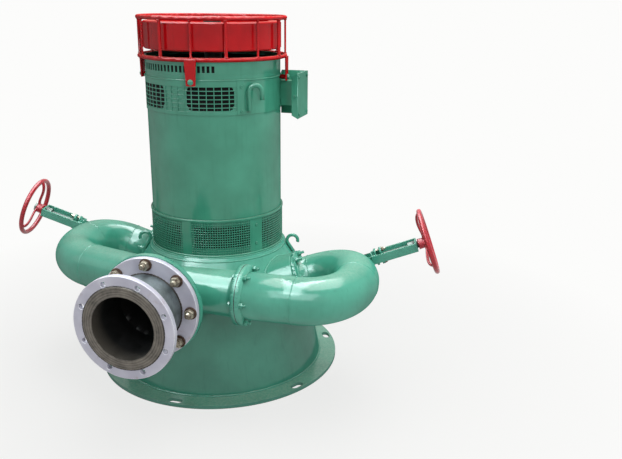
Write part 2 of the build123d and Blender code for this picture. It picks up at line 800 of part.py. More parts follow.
# Terminal box: a duct from the frame, seated on the curved wall
box_bottom = upper_band_bottom + box_rise
cover_plane = frame_radius + box_reach
with BuildPart() as frame_space:
    with BuildSketch(Plane.XY.offset(box_bottom - box_height)):
        Circle(frame_radius + seat_gap + upper_band_sheet + seat_gap)
    extrude(amount=3 * box_height)
box_middle = Plane(origin=(0, duct_middle, box_bottom + box_height / 2),
                   x_dir=(0, 1, 0), z_dir=(1, 0, 0))
box_face = cover_plane - cover_sheet
with BuildPart() as terminal_box:
    with BuildSketch(box_middle):
        Rectangle(duct_width, box_height)
    extrude(amount=box_face)
    with BuildSketch(box_middle):
        Rectangle(duct_width - 2 * box_wall, box_height - 2 * box_wall)
    extrude(amount=box_face - box_wall, mode=Mode.SUBTRACT)
    add(frame_space.part, mode=Mode.SUBTRACT)
save(terminal_box.part, "terminal_box")

# Terminal box cover: one bent sheet with a short clipped flap in front and a full side behind
cover_bottom = upper_band_bottom - cover_drop
cover_middle = Plane(origin=(cover_plane, cover_middle_y, cover_bottom + cover_height / 2),
                     x_dir=(0, 1, 0), z_dir=(1, 0, 0))
near_side = cover_middle_y - cover_width / 2
far_side = cover_middle_y + cover_width / 2
flap_end = cover_plane - cover_flap
with BuildPart() as terminal_box_cover:
    with BuildSketch(cover_middle):
        Rectangle(cover_width, cover_height)
    extrude(amount=-cover_sheet)
    with BuildSketch(Plane.XZ.offset(-near_side)):
        with BuildLine():
            Polyline(
                (cover_plane, cover_bottom),
                (cover_plane, cover_bottom + cover_height),
                (flap_end, cover_bottom + cover_height - cover_flap_clip),
                (flap_end, cover_bottom + cover_flap_clip),
                close=True,
            )
        make_face()
    extrude(amount=-cover_sheet)
    with BuildSketch(Plane.XZ.offset(-far_side)):
        with Locations((cover_plane / 2, cover_bottom + cover_height / 2)):
            Rectangle(cover_plane, cover_height)
    extrude(amount=cover_sheet)
    add(frame_space.part, mode=Mode.SUBTRACT)
    with BuildSketch(Plane.XY.offset(frame_top - upper_ridge_height - seat_gap)):
        Circle(frame_radius + upper_ridge_standoff + seat_gap)
    extrude(amount=cover_height, mode=Mode.SUBTRACT)
save(terminal_box_cover.part, "terminal_box_cover")

# Generator hooks: two bent rods welded to the shell
hook_stem_top = upper_band_bottom + hook_rise + hook_stem
with BuildPart() as generator_hooks:
    for angle in (hook_angle, hook_angle + 180):
        hook_out = frame_radius + upper_band_sheet + 2 * seat_gap + hook_rod
        wall = outward_plane(angle, hook_out, 0)
        along = wall.x_dir * cos(radians(hook_lean)) + wall.z_dir * sin(radians(hook_lean))
        hook_plane = Plane(origin=wall.origin, x_dir=along, z_dir=along.cross(Vector(0, 0, 1)))
        with BuildLine(hook_plane) as hook_path:
            Line((0, hook_stem_top - hook_stem), (0, hook_stem_top))
            ThreePointArc((0, hook_stem_top), (hook_bend, hook_stem_top + hook_bend),
                          (2 * hook_bend, hook_stem_top))
            Line((2 * hook_bend, hook_stem_top), (2 * hook_bend, hook_stem_top - hook_tip))
        with BuildSketch(Plane(origin=hook_path.line @ 0, z_dir=(0, 0, 1))):
            Circle(hook_rod)
        sweep(path=hook_path.line)
save(generator_hooks.part, "generator_hooks")

# Shaft: one stepped bar from the runner to the flywheel
with BuildPart() as shaft:
    with BuildSketch(Plane.XY.offset(shaft_bottom)):
        Circle(shaft_radius)
    extrude(amount=shaft_top - shaft_bottom)
    chamfer(shaft.edges().group_by(Axis.Z)[-1], length=3)
    chamfer(shaft.edges().group_by(Axis.Z)[0], length=3)
save(shaft.part, "shaft")

# Rotor core, pressed on the shaft inside the stator
with BuildPart() as rotor_core:
    with BuildSketch(Plane.XY.offset(core_bottom)):
        Circle(rotor_radius)
        Circle(shaft_radius, mode=Mode.SUBTRACT)
    extrude(amount=core_height)
save(rotor_core.part, "rotor_core")

# Runner: a hub and a rim with curved buckets between them, hollow towards the jets
bucket_depth = runner_depth / 2.2
with BuildPart() as runner:
    with BuildSketch(Plane.XZ):
        with BuildLine():
            Polyline(
                (shaft_radius, runner_top + 12),
                (shaft_radius + 24, runner_top + 12),
                (runner_hub_radius, runner_top - 6),
                (runner_hub_radius, runner_top - runner_depth),
                (shaft_radius, runner_top - runner_depth),
                close=True,
            )
        make_face()
        with Locations((runner_radius - blade_thickness / 2, runner_top - runner_depth / 2)):
            Rectangle(blade_thickness, runner_depth * 0.6)
    revolve(axis=Axis.Z)
    for k in range(blade_count):
        with BuildSketch(outward_plane(360 * k / blade_count, runner_hub_radius - 2,
                                       runner_top - runner_depth / 2)):
            with BuildLine():
                ThreePointArc((bucket_depth / 2, runner_depth / 2), (-bucket_depth / 2, 0),
                              (bucket_depth / 2, -runner_depth / 2))
                ThreePointArc((bucket_depth / 2, -runner_depth / 2),
                              (-bucket_depth / 2 - blade_thickness, 0),
                              (bucket_depth / 2, runner_depth / 2))
            make_face()
        extrude(amount=runner_radius - runner_hub_radius)
save(runner.part, "runner")

# Flywheel: a heavy rim, a thin web and a hub
flywheel_middle = flywheel_bottom + flywheel_height / 2
with BuildPart() as flywheel:
    with BuildSketch(Plane.XZ):
        with Locations((flywheel_radius - flywheel_rim / 2, flywheel_middle)):
            Rectangle(flywheel_rim, flywheel_height)
        with Locations(((shaft_radius + flywheel_radius - flywheel_rim / 2) / 2, flywheel_middle)):
            Rectangle(flywheel_radius - shaft_radius - flywheel_rim / 2, flywheel_web)
        with Locations(((shaft_radius + flywheel_hub_radius) / 2, flywheel_middle)):
            Rectangle(flywheel_hub_radius - shaft_radius, flywheel_hub_height)
    revolve(axis=Axis.Z)
    rim_edges = flywheel.edges().filter_by(GeomType.CIRCLE).group_by(SortBy.RADIUS)[-1]
    chamfer(rim_edges, length=flywheel_chamfer)
save(flywheel.part, "flywheel")

# Cage guard: two rings of round bar, in twelve flats, joined by upright bars, every second one thick
with BuildPart() as cage_guard:
    with BuildSketch(Plane.XZ):
        with Locations((cage_radius, cage_bottom), (cage_radius, cage_top)):
            RegularPolygon(cage_rod, cage_rod_sides)
    revolve(axis=Axis.Z)
    with BuildSketch(Plane.XY.offset(cage_bottom)):
        for first, rod in ((0, cage_thin_bar), (1, cage_thick_bar)):
            bar_angle = guard_angle + 360 * first / cage_bar_count
            with PolarLocations(cage_radius, cage_bar_count // 2, start_angle=bar_angle):
                Circle(rod)
    extrude(amount=cage_top - cage_bottom)
save(cage_guard.part, "cage_guard")

# Cage straps: tapered flat bars from the lower ring down to studs on the shell
with BuildPart() as cage_straps:
    for k in range(strap_count):
        face = outward_plane(guard_angle + 360 * k / strap_count, cage_radius + cage_rod + seat_gap, 0)
        with BuildSketch(face):
            with BuildLine():
                Polyline(
                    (-strap_top_width / 2, cage_bottom),
                    (strap_top_width / 2, cage_bottom),
                    (strap_bottom_width / 2, strap_bottom),
                    (-strap_bottom_width / 2, strap_bottom),
                    close=True,
                )
            make_face()
        extrude(amount=strap_thickness)
        stud_foot = face.origin + Vector(0, 0, strap_bottom + strap_stud_rise)
        with BuildSketch(Plane(origin=stud_foot, x_dir=face.x_dir, z_dir=-face.z_dir)):
            Circle(strap_stud_radius)
        extrude(amount=cage_radius + cage_rod - frame_radius - upper_band_sheet - seat_gap)
save(cage_straps.part, "cage_straps")
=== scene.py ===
"""Dresses the vertical hydroelectric set: its paint, welds, bolts, pierced sheets and light.

The set stands on the floor at the origin. The inlet faces -Y and +Z is up. All sizes are in metres.
"""
import json
from contextlib import contextmanager
from math import atan2, cos, degrees, hypot, pi, radians, sin

import bpy
from mathutils import Matrix, Vector

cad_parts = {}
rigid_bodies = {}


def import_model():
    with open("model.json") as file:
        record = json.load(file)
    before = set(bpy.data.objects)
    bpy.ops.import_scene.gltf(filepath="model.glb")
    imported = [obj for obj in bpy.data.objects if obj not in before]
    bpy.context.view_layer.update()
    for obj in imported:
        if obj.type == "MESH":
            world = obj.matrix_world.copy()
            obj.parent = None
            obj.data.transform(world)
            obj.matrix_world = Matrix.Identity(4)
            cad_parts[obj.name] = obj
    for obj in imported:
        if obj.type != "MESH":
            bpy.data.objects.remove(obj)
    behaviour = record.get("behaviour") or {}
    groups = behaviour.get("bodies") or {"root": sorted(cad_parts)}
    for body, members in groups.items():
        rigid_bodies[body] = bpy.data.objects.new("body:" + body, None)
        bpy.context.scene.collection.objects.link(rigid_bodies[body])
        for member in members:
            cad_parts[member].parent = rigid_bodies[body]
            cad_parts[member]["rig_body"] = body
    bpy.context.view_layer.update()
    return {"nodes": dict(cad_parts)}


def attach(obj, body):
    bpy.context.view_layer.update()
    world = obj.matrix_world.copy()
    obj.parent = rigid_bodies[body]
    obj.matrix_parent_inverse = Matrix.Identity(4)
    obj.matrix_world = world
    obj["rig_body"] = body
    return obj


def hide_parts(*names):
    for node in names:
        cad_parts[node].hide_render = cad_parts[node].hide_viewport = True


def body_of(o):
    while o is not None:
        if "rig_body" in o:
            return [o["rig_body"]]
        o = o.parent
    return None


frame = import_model()
nodes = frame["nodes"]


# The view: a standing person's eye, to the right of the inlet and above the handwheels.
# It looks a little down at the set, with a normal lens.
EYE = (1.0068, -2.4349, 1.3197)
TURN_LEFT = 0.260
LOOK_DOWN = 0.305
HEAD_LEAN = 0.010
SENSOR = 36.0
PICTURE_WIDTH = 622
FOCAL_PIXELS = 731

bpy.ops.object.camera_add(location=EYE)
camera = bpy.context.object
camera.name = "view_camera"
camera.data.sensor_width = SENSOR
camera.data.lens = SENSOR * FOCAL_PIXELS / PICTURE_WIDTH
camera.data.clip_start = 0.05
aim = Matrix.Rotation(TURN_LEFT, 3, "Z") @ Matrix.Rotation(pi / 2 - LOOK_DOWN, 3, "X")
camera.rotation_euler = (aim @ Matrix.Rotation(HEAD_LEAN, 3, "Z")).to_euler()
bpy.context.scene.camera = camera
bpy.context.scene.view_settings.view_transform = "Standard"


# The light: an overcast sky, bright overhead and dim at the sides, with soft boxes above, at the front
# right and at the left. Two panels are only seen in the gloss, and draw its broad highlights.
def linear(hex_code):
    """The linear colour of an sRGB hex value, opaque."""
    channels = [int(hex_code[i:i + 2], 16) / 255 for i in (1, 3, 5)]
    return tuple(c / 12.92 if c <= 0.04045 else ((c + 0.055) / 1.055) ** 2.4 for c in channels) + (1.0,)


def fresh_tree(owner):
    """Empties the node tree of a material or world, and returns the function that adds nodes to it."""
    owner.use_nodes = True
    tree = owner.node_tree
    tree.nodes.clear()

    def add(kind, inputs=(), operation=None, **settings):
        """Adds one shader node. Its inputs are given by name, or in order as a list.

        An input is a value, a hex colour, an output, or a node whose first live output is meant. In order,
        noise takes its place, scale, detail and roughness. A mix is one of colours.
        """
        if kind == "Mix":
            settings["data_type"] = "RGBA"
        if operation:
            settings["operation"] = operation
        made = tree.nodes.new("ShaderNode" + kind)
        for name, value in settings.items():
            setattr(made, name, value)
        live = [socket for socket in made.inputs if socket.enabled]
        for name, value in inputs.items() if isinstance(inputs, dict) else enumerate(inputs):
            socket = made.inputs[name] if isinstance(name, str) else live[name]
            if isinstance(value, bpy.types.Node):
                value = next(output for output in value.outputs if output.enabled)
            if isinstance(value, bpy.types.NodeSocket):
                tree.links.new(value, socket)
            else:
                socket.default_value = linear(value) if isinstance(value, str) else value
        return made

    return add


def fresh_material(name):
    """A material without nodes, the function that adds them, and its object coordinates."""
    material = bpy.data.materials.new(name)
    add = fresh_tree(material)
    return material, add, add("TexCoord").outputs["Object"]


def backdrop_share(add):
    """1 where the backdrop shows: to the camera, through glass and in gloss. 0 where light falls."""
    path = add("LightPath").outputs
    seen = add("Math", [path["Is Camera Ray"], path["Is Transmission Ray"]], "MAXIMUM")
    return add("Math", [seen, path["Is Glossy Ray"]], "MAXIMUM")


SKY_COLOUR = "#eef3f6"
SKY_AT_SIDES = 0.14
SKY_OVERHEAD = 1.00
BACKDROP_COLOUR = "#fcfcfb"
FLOOR_SIZE = 60.0

sky = bpy.data.worlds.new("overcast_sky")
bpy.context.scene.world = sky
add = fresh_tree(sky)
way = add("SeparateXYZ", [add("TexCoord").outputs["Generated"]])
level = add("MapRange", [way.outputs["Z"], 0.0, 1.0, SKY_AT_SIDES, SKY_OVERHEAD])
light = add("Background", {"Color": SKY_COLOUR, "Strength": level})
backdrop = add("Background", {"Color": BACKDROP_COLOUR})
add("OutputWorld", [add("MixShader", [backdrop_share(add), light, backdrop])])

GLOSS_TINT = (0.86, 0.96, 1.0)
SOFT_BOXES = {
    # name: (place, point it faces, width, height, watts, whether it lights surfaces, whether gloss shows it)
    "top_box": ((0.5, 0.4, 3.3), (0.0, 0.0, 0.6), 3.0, 2.0, 95, True, True),
    "front_box": ((2.3, -3.0, 2.4), (0.0, 0.0, 0.8), 1.6, 2.0, 58, True, False),
    "left_box": ((-3.0, -1.2, 2.2), (0.0, 0.0, 0.6), 1.2, 1.6, 4, True, True),
    "gloss_panel": ((-0.9, -0.35, 3.2), (-0.2, -0.35, 0.4), 5.4, 2.3, 390, False, True),
    "front_glow": ((-0.3, -2.8, 2.8), (0.0, -0.4, 0.4), 4.2, 2.0, 110, False, True),
}
for name, (place, target, width, height, watts, lights, shows) in SOFT_BOXES.items():
    bpy.ops.object.light_add(type="AREA", location=place)
    lamp = bpy.context.object
    lamp.name = name
    lamp.data.shape = "RECTANGLE"
    lamp.data.size = width
    lamp.data.size_y = height
    lamp.data.energy = watts
    lamp.visible_diffuse = lights
    lamp.visible_glossy = shows
    if not lights:
        lamp.data.color = GLOSS_TINT
    lamp.rotation_euler = (Vector(target) - Vector(place)).to_track_quat("-Z", "Y").to_euler()

# The floor is pale paper. The camera sees it run out into the white backdrop, past the set's shadow.
bpy.ops.mesh.primitive_plane_add(size=FLOOR_SIZE)
floor = bpy.context.object
floor.name = "studio_floor"
floor_paper, add, place = fresh_material("pale_paper")
paper = add("BsdfDiffuse", {"Color": "#adadab"})
white = add("Emission", {"Color": BACKDROP_COLOUR})
reach = add("VectorMath", [place], "LENGTH")
faded = add("MapRange", [reach, 0.5, 1.8, 0.76, 1.0])
share = add("Math", [faded, backdrop_share(add)], "MULTIPLY")
add("OutputMaterial", [add("MixShader", [share, paper, white])])
floor.data.materials.append(floor_paper)


# Casing: a rolled and welded steel cone on a flat ring flange, with a flatter cone and a top plate.
# All of it is sprayed with one coat of sea-green enamel, thick enough to ripple and run a little.
def sprayed_enamel(name, colour, shade, glossy=0.14, ripple=0.0005, sag=0.0022, wet=1.0, inside=None):
    """Gloss enamel on welded steel: soft ripples, faint runs, dust on top and painted shade in the corners.

    Nearer the shaft than the inside radius it is dusty primer.
    """
    material, add, place = fresh_material(name)
    # thick and thin paint, in clouds about 120 mm across
    clouds = add("TexNoise", [place, 8.0, 3.0])
    toned = add("MapRange", [clouds, 0.35, 0.7, 0.0, 0.55])
    body_colour = add("Mix", [toned, colour, shade])
    # runs, about 12 mm wide and 150 mm long
    stretched = add("Mapping", {"Vector": place, "Scale": (80.0, 80.0, 6.5)})
    runs = add("TexNoise", [stretched, 1.0, 2.0])
    run_share = add("MapRange", [runs, 0.55, 0.8, 0.0, 0.30])
    run_colour = add("Mix", [run_share, body_colour, shade])
    # painted shade where two surfaces meet, reached within 20 mm
    nearness = add("AmbientOcclusion", {"Distance": 0.020}, samples=6)
    painted_corner_shade = add("MapRange", [nearness.outputs["AO"], 0.15, 0.65, 0.45, 0.0])
    paint_with_corner_shade = add("Mix", [painted_corner_shade, run_colour, "#1d3a30"])
    # dust on what faces up
    up = add("SeparateXYZ", [add("NewGeometry").outputs["Normal"]])
    specks = add("TexNoise", [place, 140.0, 4.0])
    settled = add("MapRange", [up.outputs["Z"], 0.75, 1.0, 0.0, 0.35])
    dust = add("Math", [settled, specks], "MULTIPLY")
    dusty = add("Mix", [dust, paint_with_corner_shade, "#b9bfae"])
    # dents and sags of the plate, 60 mm across, under ripples of the wet coat, drawn 12 mm across because
    # the real 3 mm ones can't show
    soft_edge = add("Bevel", {"Radius": 0.0015}, samples=4)
    sags = add("TexNoise", [place, 16.0, 1.0])
    sagging = add("Bump", {"Strength": 0.5, "Distance": sag, "Height": sags, "Normal": soft_edge})
    waves = add("TexNoise", [place, 85.0, 3.0, 0.65])
    bump = add("Bump", {"Strength": 0.7, "Distance": ripple, "Height": waves, "Normal": sagging})
    dull = add("MapRange", [clouds, 0.3, 0.7, glossy + 0.12, glossy + 0.24])
    # the gloss is hazy where it is seen edge on
    edge_on = add("LayerWeight", {"Blend": 0.5, "Normal": bump})
    gloss = add("MapRange", [edge_on.outputs["Facing"], 0.35, 0.85, wet, wet * 0.1])
    paint = add("BsdfPrincipled", {
        "Base Color": dusty, "Roughness": dull, "Specular IOR Level": 0.0, "Normal": bump,
        "Coat Weight": gloss, "Coat Roughness": glossy, "Coat Normal": bump})
    if inside:
        flat = add("Mapping", {"Vector": place, "Scale": (1.0, 1.0, 0.0)})
        within = add("Math", [add("VectorMath", [flat], "LENGTH"), inside], "LESS_THAN")
        primer = add("BsdfPrincipled", {"Base Color": "#23302b", "Roughness": 0.85})
        paint = add("MixShader", [within, paint, primer])
    add("OutputMaterial", [paint])
    return material


def select_only(thing):
    """Deselects everything, then selects one object and makes it the active one."""
    bpy.ops.object.select_all(action="DESELECT")
    thing.select_set(True)
    bpy.context.view_layer.objects.active = thing


def merge_points(thing, gap):
    """Merges a mesh's points that lie within a gap of each other."""
    select_only(thing)
    bpy.ops.object.mode_set(mode="EDIT")
    bpy.ops.mesh.select_all(action="SELECT")
    bpy.ops.mesh.remove_doubles(threshold=gap)
    bpy.ops.object.mode_set(mode="OBJECT")


def even_shading(mesh, centre, axis):
    """Gives the turned faces about an axis the normals of a turned surface, however they are split."""
    normals = []
    for face in mesh.polygons:
        along = face.normal.dot(axis)
        across = face.normal - axis * along
        for i in face.loop_indices:
            arm = mesh.vertices[mesh.loops[i].vertex_index].co - centre
            out = (arm - axis * arm.dot(axis)).normalized()
            lean = out.dot(across)
            turned_face = across.length > 0.02 and abs(lean) > 0.96 * across.length
            normals.append(out * (across.length if lean > 0 else -across.length) + axis * along
                           if turned_face else face.normal)
    mesh.normals_split_custom_set([tuple(n) for n in normals])


def finish_piece(piece, name, material, body="root", sharp=35):
    """Puts a piece's place in its mesh, shades it, and hands it to its body."""
    select_only(piece)
    bpy.ops.object.transform_apply()
    bpy.ops.object.shade_smooth_by_angle(angle=radians(sharp))
    piece.name = name
    piece.data.name = name
    piece.data.materials.clear()
    piece.data.materials.append(material)
    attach(piece, body)
    return piece


def dress(node, material, sharp=35, centre=None, axis=(0, 0, 1)):
    """Shows a welded and smoothed copy of a CAD node, in its own material, on the node's body.

    A turned node has the centre and the axis that it was turned about.
    """
    source = nodes[node]
    piece = source.copy()
    piece.data = source.data.copy()
    piece.parent = None
    bpy.context.scene.collection.objects.link(piece)
    merge_points(piece, 0.00001)
    finish_piece(piece, node + "_dressed", material, body_of(source)[0], sharp)
    if centre is not None:
        even_shading(piece.data, Vector(centre), Vector(axis))
    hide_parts(node)
    return piece


SHAFT = (0, 0, 0)
casing_enamel = sprayed_enamel("sea_green_enamel", "#4da28a", "#35806b")
dress("casing_hooks", casing_enamel)
for node in ("casing_shoulder", "casing_top_plate"):
    dress(node, casing_enamel, centre=SHAFT)
# the skirt and its flange stand low, under the arms: a darker copy of the same enamel paints their shade
shaded_skirt_enamel = sprayed_enamel("shaded_sea_green_enamel", "#408772", "#2c6958", glossy=0.13)
for node in ("base_flange", "casing_skirt"):
    dress(node, shaded_skirt_enamel, centre=SHAFT)


# Weld beads: the casing's cones, flange and plate are joined by hand-laid beads under the same paint.
# Each bead is a row of overlapping scales about 5 mm long.
BEAD_STEP = 0.0042
SKIRT_FOOT_RADIUS = 0.384
SKIRT_FOOT_HEIGHT = 0.012
WAIST_RADIUS = 0.317
WAIST_HEIGHT = 0.350
NECK_RADIUS = 0.250
NECK_HEIGHT = 0.453
SMALL_BEAD = 0.0022


def ring(centre, axis, radius):
    """Points a bead's step apart on a circle."""
    turn = Vector(axis).to_track_quat("Z", "Y")
    count = max(8, round(radius * 2 * pi / BEAD_STEP))
    angles = [2 * pi * i / count for i in range(count)]
    return [Vector(centre) + turn @ Vector((radius * cos(a), radius * sin(a), 0)) for a in angles]


def bead(points, thickness, closed=True):
    """A bead of weld laid along points, each one a scale of it."""
    line = bpy.data.curves.new("bead", "CURVE")
    line.dimensions = "3D"
    line.bevel_depth = thickness
    line.bevel_resolution = 2
    line.use_fill_caps = True
    spline = line.splines.new("POLY")
    spline.points.add(len(points) - 1)
    for i, point in enumerate(points):
        spline.points[i].co = (*point, 1.0)
        spline.points[i].radius = 1.0 + 0.16 * sin(2.4 * i) + 0.10 * sin(0.37 * i + 1.0)
    spline.use_cyclic_u = closed
    laid = bpy.data.objects.new("bead", line)
    bpy.context.scene.collection.objects.link(laid)
    select_only(laid)
    bpy.ops.object.convert(target="MESH")
    return bpy.context.object


def weld_bead(name, points, material, thickness=SMALL_BEAD, closed=True):
    """A bead as a piece of its own."""
    finish_piece(bead(points, thickness, closed), name, material, sharp=60)


UP = (0, 0, 1)
weld_bead("skirt_foot_weld", ring((0, 0, SKIRT_FOOT_HEIGHT), UP, SKIRT_FOOT_RADIUS), shaded_skirt_enamel, 0.0042)
weld_bead("waist_weld", ring((0, 0, WAIST_HEIGHT), UP, WAIST_RADIUS - 0.001), casing_enamel, 0.0024)
weld_bead("neck_weld", ring((0, 0, NECK_HEIGHT), UP, NECK_RADIUS - 0.0005), casing_enamel, 0.0026)


# Nozzle housings: a thick drum on each side, let into the cones at a slant and welded all round.
# The nozzle inside it is a bare cast cone. Both jets slope down inwards and pass beside the shaft.
JET_CIRCLE = 0.132
JET_HEIGHT = 0.241
JET_SLOPE = radians(20)
JET_YAW = radians(10)
HOUSING_RADIUS = 0.104
HOUSING_INNER_END = 0.170
HOUSING_FACES = {"right": 0.344, "left": 0.325}
SIDES = {"right": 1, "left": -1}


def jet_direction(sign):
    """The way out along a jet axis."""
    return Vector((sign * cos(JET_SLOPE) * cos(JET_YAW), sign * cos(JET_SLOPE) * sin(JET_YAW),
                   sin(JET_SLOPE)))


def jet_point(sign, distance, level=0.0, rise=0.0):
    """A point beside a jet axis: its distance outwards, and its offsets level and square to both."""
    nearest = Vector((sign * JET_CIRCLE * sin(JET_YAW), -sign * JET_CIRCLE * cos(JET_YAW), JET_HEIGHT))
    out = jet_direction(sign)
    level_way = Vector((-sign * sin(JET_YAW), sign * cos(JET_YAW), 0))
    return nearest + out * distance + level_way * level + out.cross(level_way) * rise


def casing_radius(height):
    """The casing's outer radius at a height."""
    if height < WAIST_HEIGHT:
        share = (height - SKIRT_FOOT_HEIGHT) / (WAIST_HEIGHT - SKIRT_FOOT_HEIGHT)
        return SKIRT_FOOT_RADIUS + share * (WAIST_RADIUS - SKIRT_FOOT_RADIUS)
    share = (height - WAIST_HEIGHT) / (NECK_HEIGHT - WAIST_HEIGHT)
    return WAIST_RADIUS + share * (NECK_RADIUS - WAIST_RADIUS)


def housing_seam(sign):
    """Points where a housing's drum comes out of the casing's cones."""
    count = round(2 * pi * HOUSING_RADIUS / BEAD_STEP)
    points = []
    for i in range(count):
        angle = 2 * pi * i / count
        inside, outside = HOUSING_INNER_END - 0.06, 2 * HOUSING_INNER_END
        for _ in range(24):
            middle = (inside + outside) / 2
            point = jet_point(sign, middle, HOUSING_RADIUS * cos(angle), HOUSING_RADIUS * sin(angle))
            if point.xy.length < casing_radius(point.z):
                inside = middle
            else:
                outside = middle
        points.append(point)
    return points


for side, sign in SIDES.items():
    dress(f"{side}_nozzle_housing", casing_enamel, centre=jet_point(sign, 0.0), axis=jet_direction(sign))
    weld_bead(f"{side}_housing_weld", housing_seam(sign), casing_enamel, 0.0040)


# Fasteners: a hexagon nut on a washer, with the end of its stud standing out of it.
# A pattern is modelled once, standing on the floor, and copied to its places.
@contextmanager
def chosen(thing, kind, test):
    """Edit mode, with only the edges or polygons selected whose middle passes a test."""
    mesh = thing.data
    for group in (mesh.vertices, mesh.edges, mesh.polygons):
        group.foreach_set("select", [False] * len(group))
    for item in getattr(mesh, kind):
        ends = [mesh.vertices[i].co for i in item.vertices[:2]]
        item.select = test(item.center if kind == "polygons" else (ends[0] + ends[1]) / 2, item)
    bpy.context.tool_settings.mesh_select_mode = (False, kind == "edges", kind == "polygons")
    bpy.ops.object.mode_set(mode="EDIT")
    yield
    bpy.ops.object.mode_set(mode="OBJECT")


def joined(parts):
    """Joins several objects into the first."""
    select_only(parts[0])
    for part in parts:
        part.select_set(True)
    bpy.ops.object.join()
    return parts[0]


def upright(sides, radius, middle, height, fill="NGON"):
    """A cylinder about the Z axis, its middle at a height, with its origin on the floor."""
    bpy.ops.mesh.primitive_cylinder_add(vertices=sides, radius=radius, depth=height, end_fill_type=fill,
                                        location=(0, 0, middle))
    bpy.ops.object.transform_apply()
    return bpy.context.object


def bevelled_disc(radius, bottom, height, edge, sides):
    """A disc, or a hexagon with six sides, standing at a height, with broken edges."""
    middle = bottom + height / 2
    disc = upright(sides, radius, middle, height)
    with chosen(disc, "edges", lambda at, item: abs(abs(at.z - middle) - height / 2) < 1e-6):
        bpy.ops.mesh.bevel(offset=edge, segments=2, affect="EDGES")
    return disc


def threaded_end(radius, bottom, height, turns):
    """The end of a stud, with a groove for each turn of its thread."""
    middle = bottom + height / 2
    stud = upright(12, radius, middle, height)
    with chosen(stud, "edges", lambda at, item: abs(at.z - middle) < 1e-6):
        bpy.ops.mesh.subdivide(number_cuts=2 * turns)
    levels = 2 * turns + 1
    for vertex in stud.data.vertices:
        level = round((vertex.co.z - bottom) / height * levels)
        if level % 2 == 1 or level == levels:
            vertex.co.xy *= 0.88
    return stud


def nut_pattern(across, height, washer, stud, standing, turns=4, lift=0.003):
    """A nut round a stud that stands that far out of it, on a washer unless its radius is 0."""
    parts = [
        bevelled_disc(across / 2 / cos(pi / 6), lift, height, across * 0.05, 6),
        threaded_end(stud, lift + height * 0.8, height * 0.2 + standing, turns),
    ]
    if washer:
        parts.append(bevelled_disc(washer, 0.0, lift, 0.0007, 28))
    return joined(parts)


def bolt_head(radius, height, edge, washer):
    """A hexagon head on a thin washer."""
    return joined([bevelled_disc(radius, 0.0015, height, edge, 6),
                   bevelled_disc(washer, 0.0, 0.0015, 0.0004, 24)])


def stand(thing, point, axis, turn=0.0):
    """Stands what was modelled on the floor on a point, with its Z along an axis."""
    way = Vector(axis).to_track_quat("Z", "Y").to_matrix().to_4x4()
    thing.data.transform(Matrix.Translation(point) @ way @ Matrix.Rotation(turn, 4, "Z"))


def set_copies(pattern, places, name, material, body="root"):
    """One piece made of copies of a pattern, each stood on a point with its Z along an axis."""
    made = []
    for i, (point, axis) in enumerate(places):
        copy = pattern.copy()
        copy.data = pattern.data.copy()
        stand(copy, point, axis, 1.7 * i)
        bpy.context.scene.collection.objects.link(copy)
        made.append(copy)
    bpy.data.objects.remove(pattern)
    finish_piece(joined(made), name, material, body)


# Manifold: 152 mm welding elbows and straight pipe make a bent arm on each side, under the same enamel.
# Butt welds join the elbows to the pipes. Painted bolts hold the arms to the tee and to the housings.
RUN_OFFSET = 0.395
RUN_HEIGHT = 0.416
ARM_RADIUS = 0.076
TEE_MIDDLE = Vector((0, -RUN_OFFSET, RUN_HEIGHT))
REAR_CORNERS = {"right": jet_point(1, 0.586), "left": jet_point(-1, 0.514)}
FRONT_CORNERS = {"right": Vector((0.580, -RUN_OFFSET, RUN_HEIGHT)),
                 "left": Vector((-0.527, -0.245, RUN_HEIGHT))}
REAR_SHARES = {"right": 0.54, "left": 0.37}
ELBOW_SPACER = 0.006
FLANGE_PAIR = 0.246
ARM_FLANGE = 0.016
RUN_FLANGE = 0.014

dress("left_arm", casing_enamel, sharp=30)
right_arm = dress("right_arm", casing_enamel, sharp=30)
tee = dress("inlet_tee", casing_enamel, sharp=30)

# the run's flange pair is rough from the sand mould, under the same enamel, with a dark gasket between
cast_enamel = sprayed_enamel("enamel_on_rough_casting", "#58ad95", "#3a8570", glossy=0.16, ripple=0.0022)

# the tee is painted near black inside, where the water runs, as painted shade deep in the pipe
TEE_FACE = 0.555
TEE_BORE = 0.1065
NECK_TAPER = 0.2531
BRANCH_BORE = 0.0675
BRANCH_TAPER = 0.0259
near_black_coat, add, place = fresh_material("near_black_lining_coat")
lumps = add("TexNoise", [place, 45.0, 4.0])
tone = add("Mix", [lumps, "#191817", "#0c0c0c"])
bump = add("Bump", {"Strength": 0.6, "Distance": 0.001, "Height": lumps})
coat = add("BsdfPrincipled", {"Base Color": tone, "Roughness": 0.55, "Normal": bump})
add("OutputMaterial", [coat])
tee.data.materials.append(near_black_coat)
branch_ways = (Vector((1, 0, 0)), (FRONT_CORNERS["left"] - TEE_MIDDLE).normalized())
for face in tee.data.polygons:
    off = face.center - TEE_MIDDLE
    in_neck = hypot(off.x, off.z) < TEE_BORE - NECK_TAPER * (face.center.y + TEE_FACE)
    along = [off.dot(way) for way in branch_ways]
    in_branch = any(far > 0 and (off - way * far).length < BRANCH_BORE + BRANCH_TAPER * far
                    for far, way in zip(along, branch_ways))
    if in_branch or (in_neck and off.y < 0):
        face.material_index = 1

# a thin dark gasket shows between the run's two flanges
RUN_WAY = (1, 0, 0)
RUN_FLANGE_RADIUS = 0.098
RUN_JOINT = Vector((FLANGE_PAIR, -RUN_OFFSET, RUN_HEIGHT))
weld_bead("run_gasket", ring(RUN_JOINT, RUN_WAY, RUN_FLANGE_RADIUS - 0.0006), near_black_coat, 0.0013)

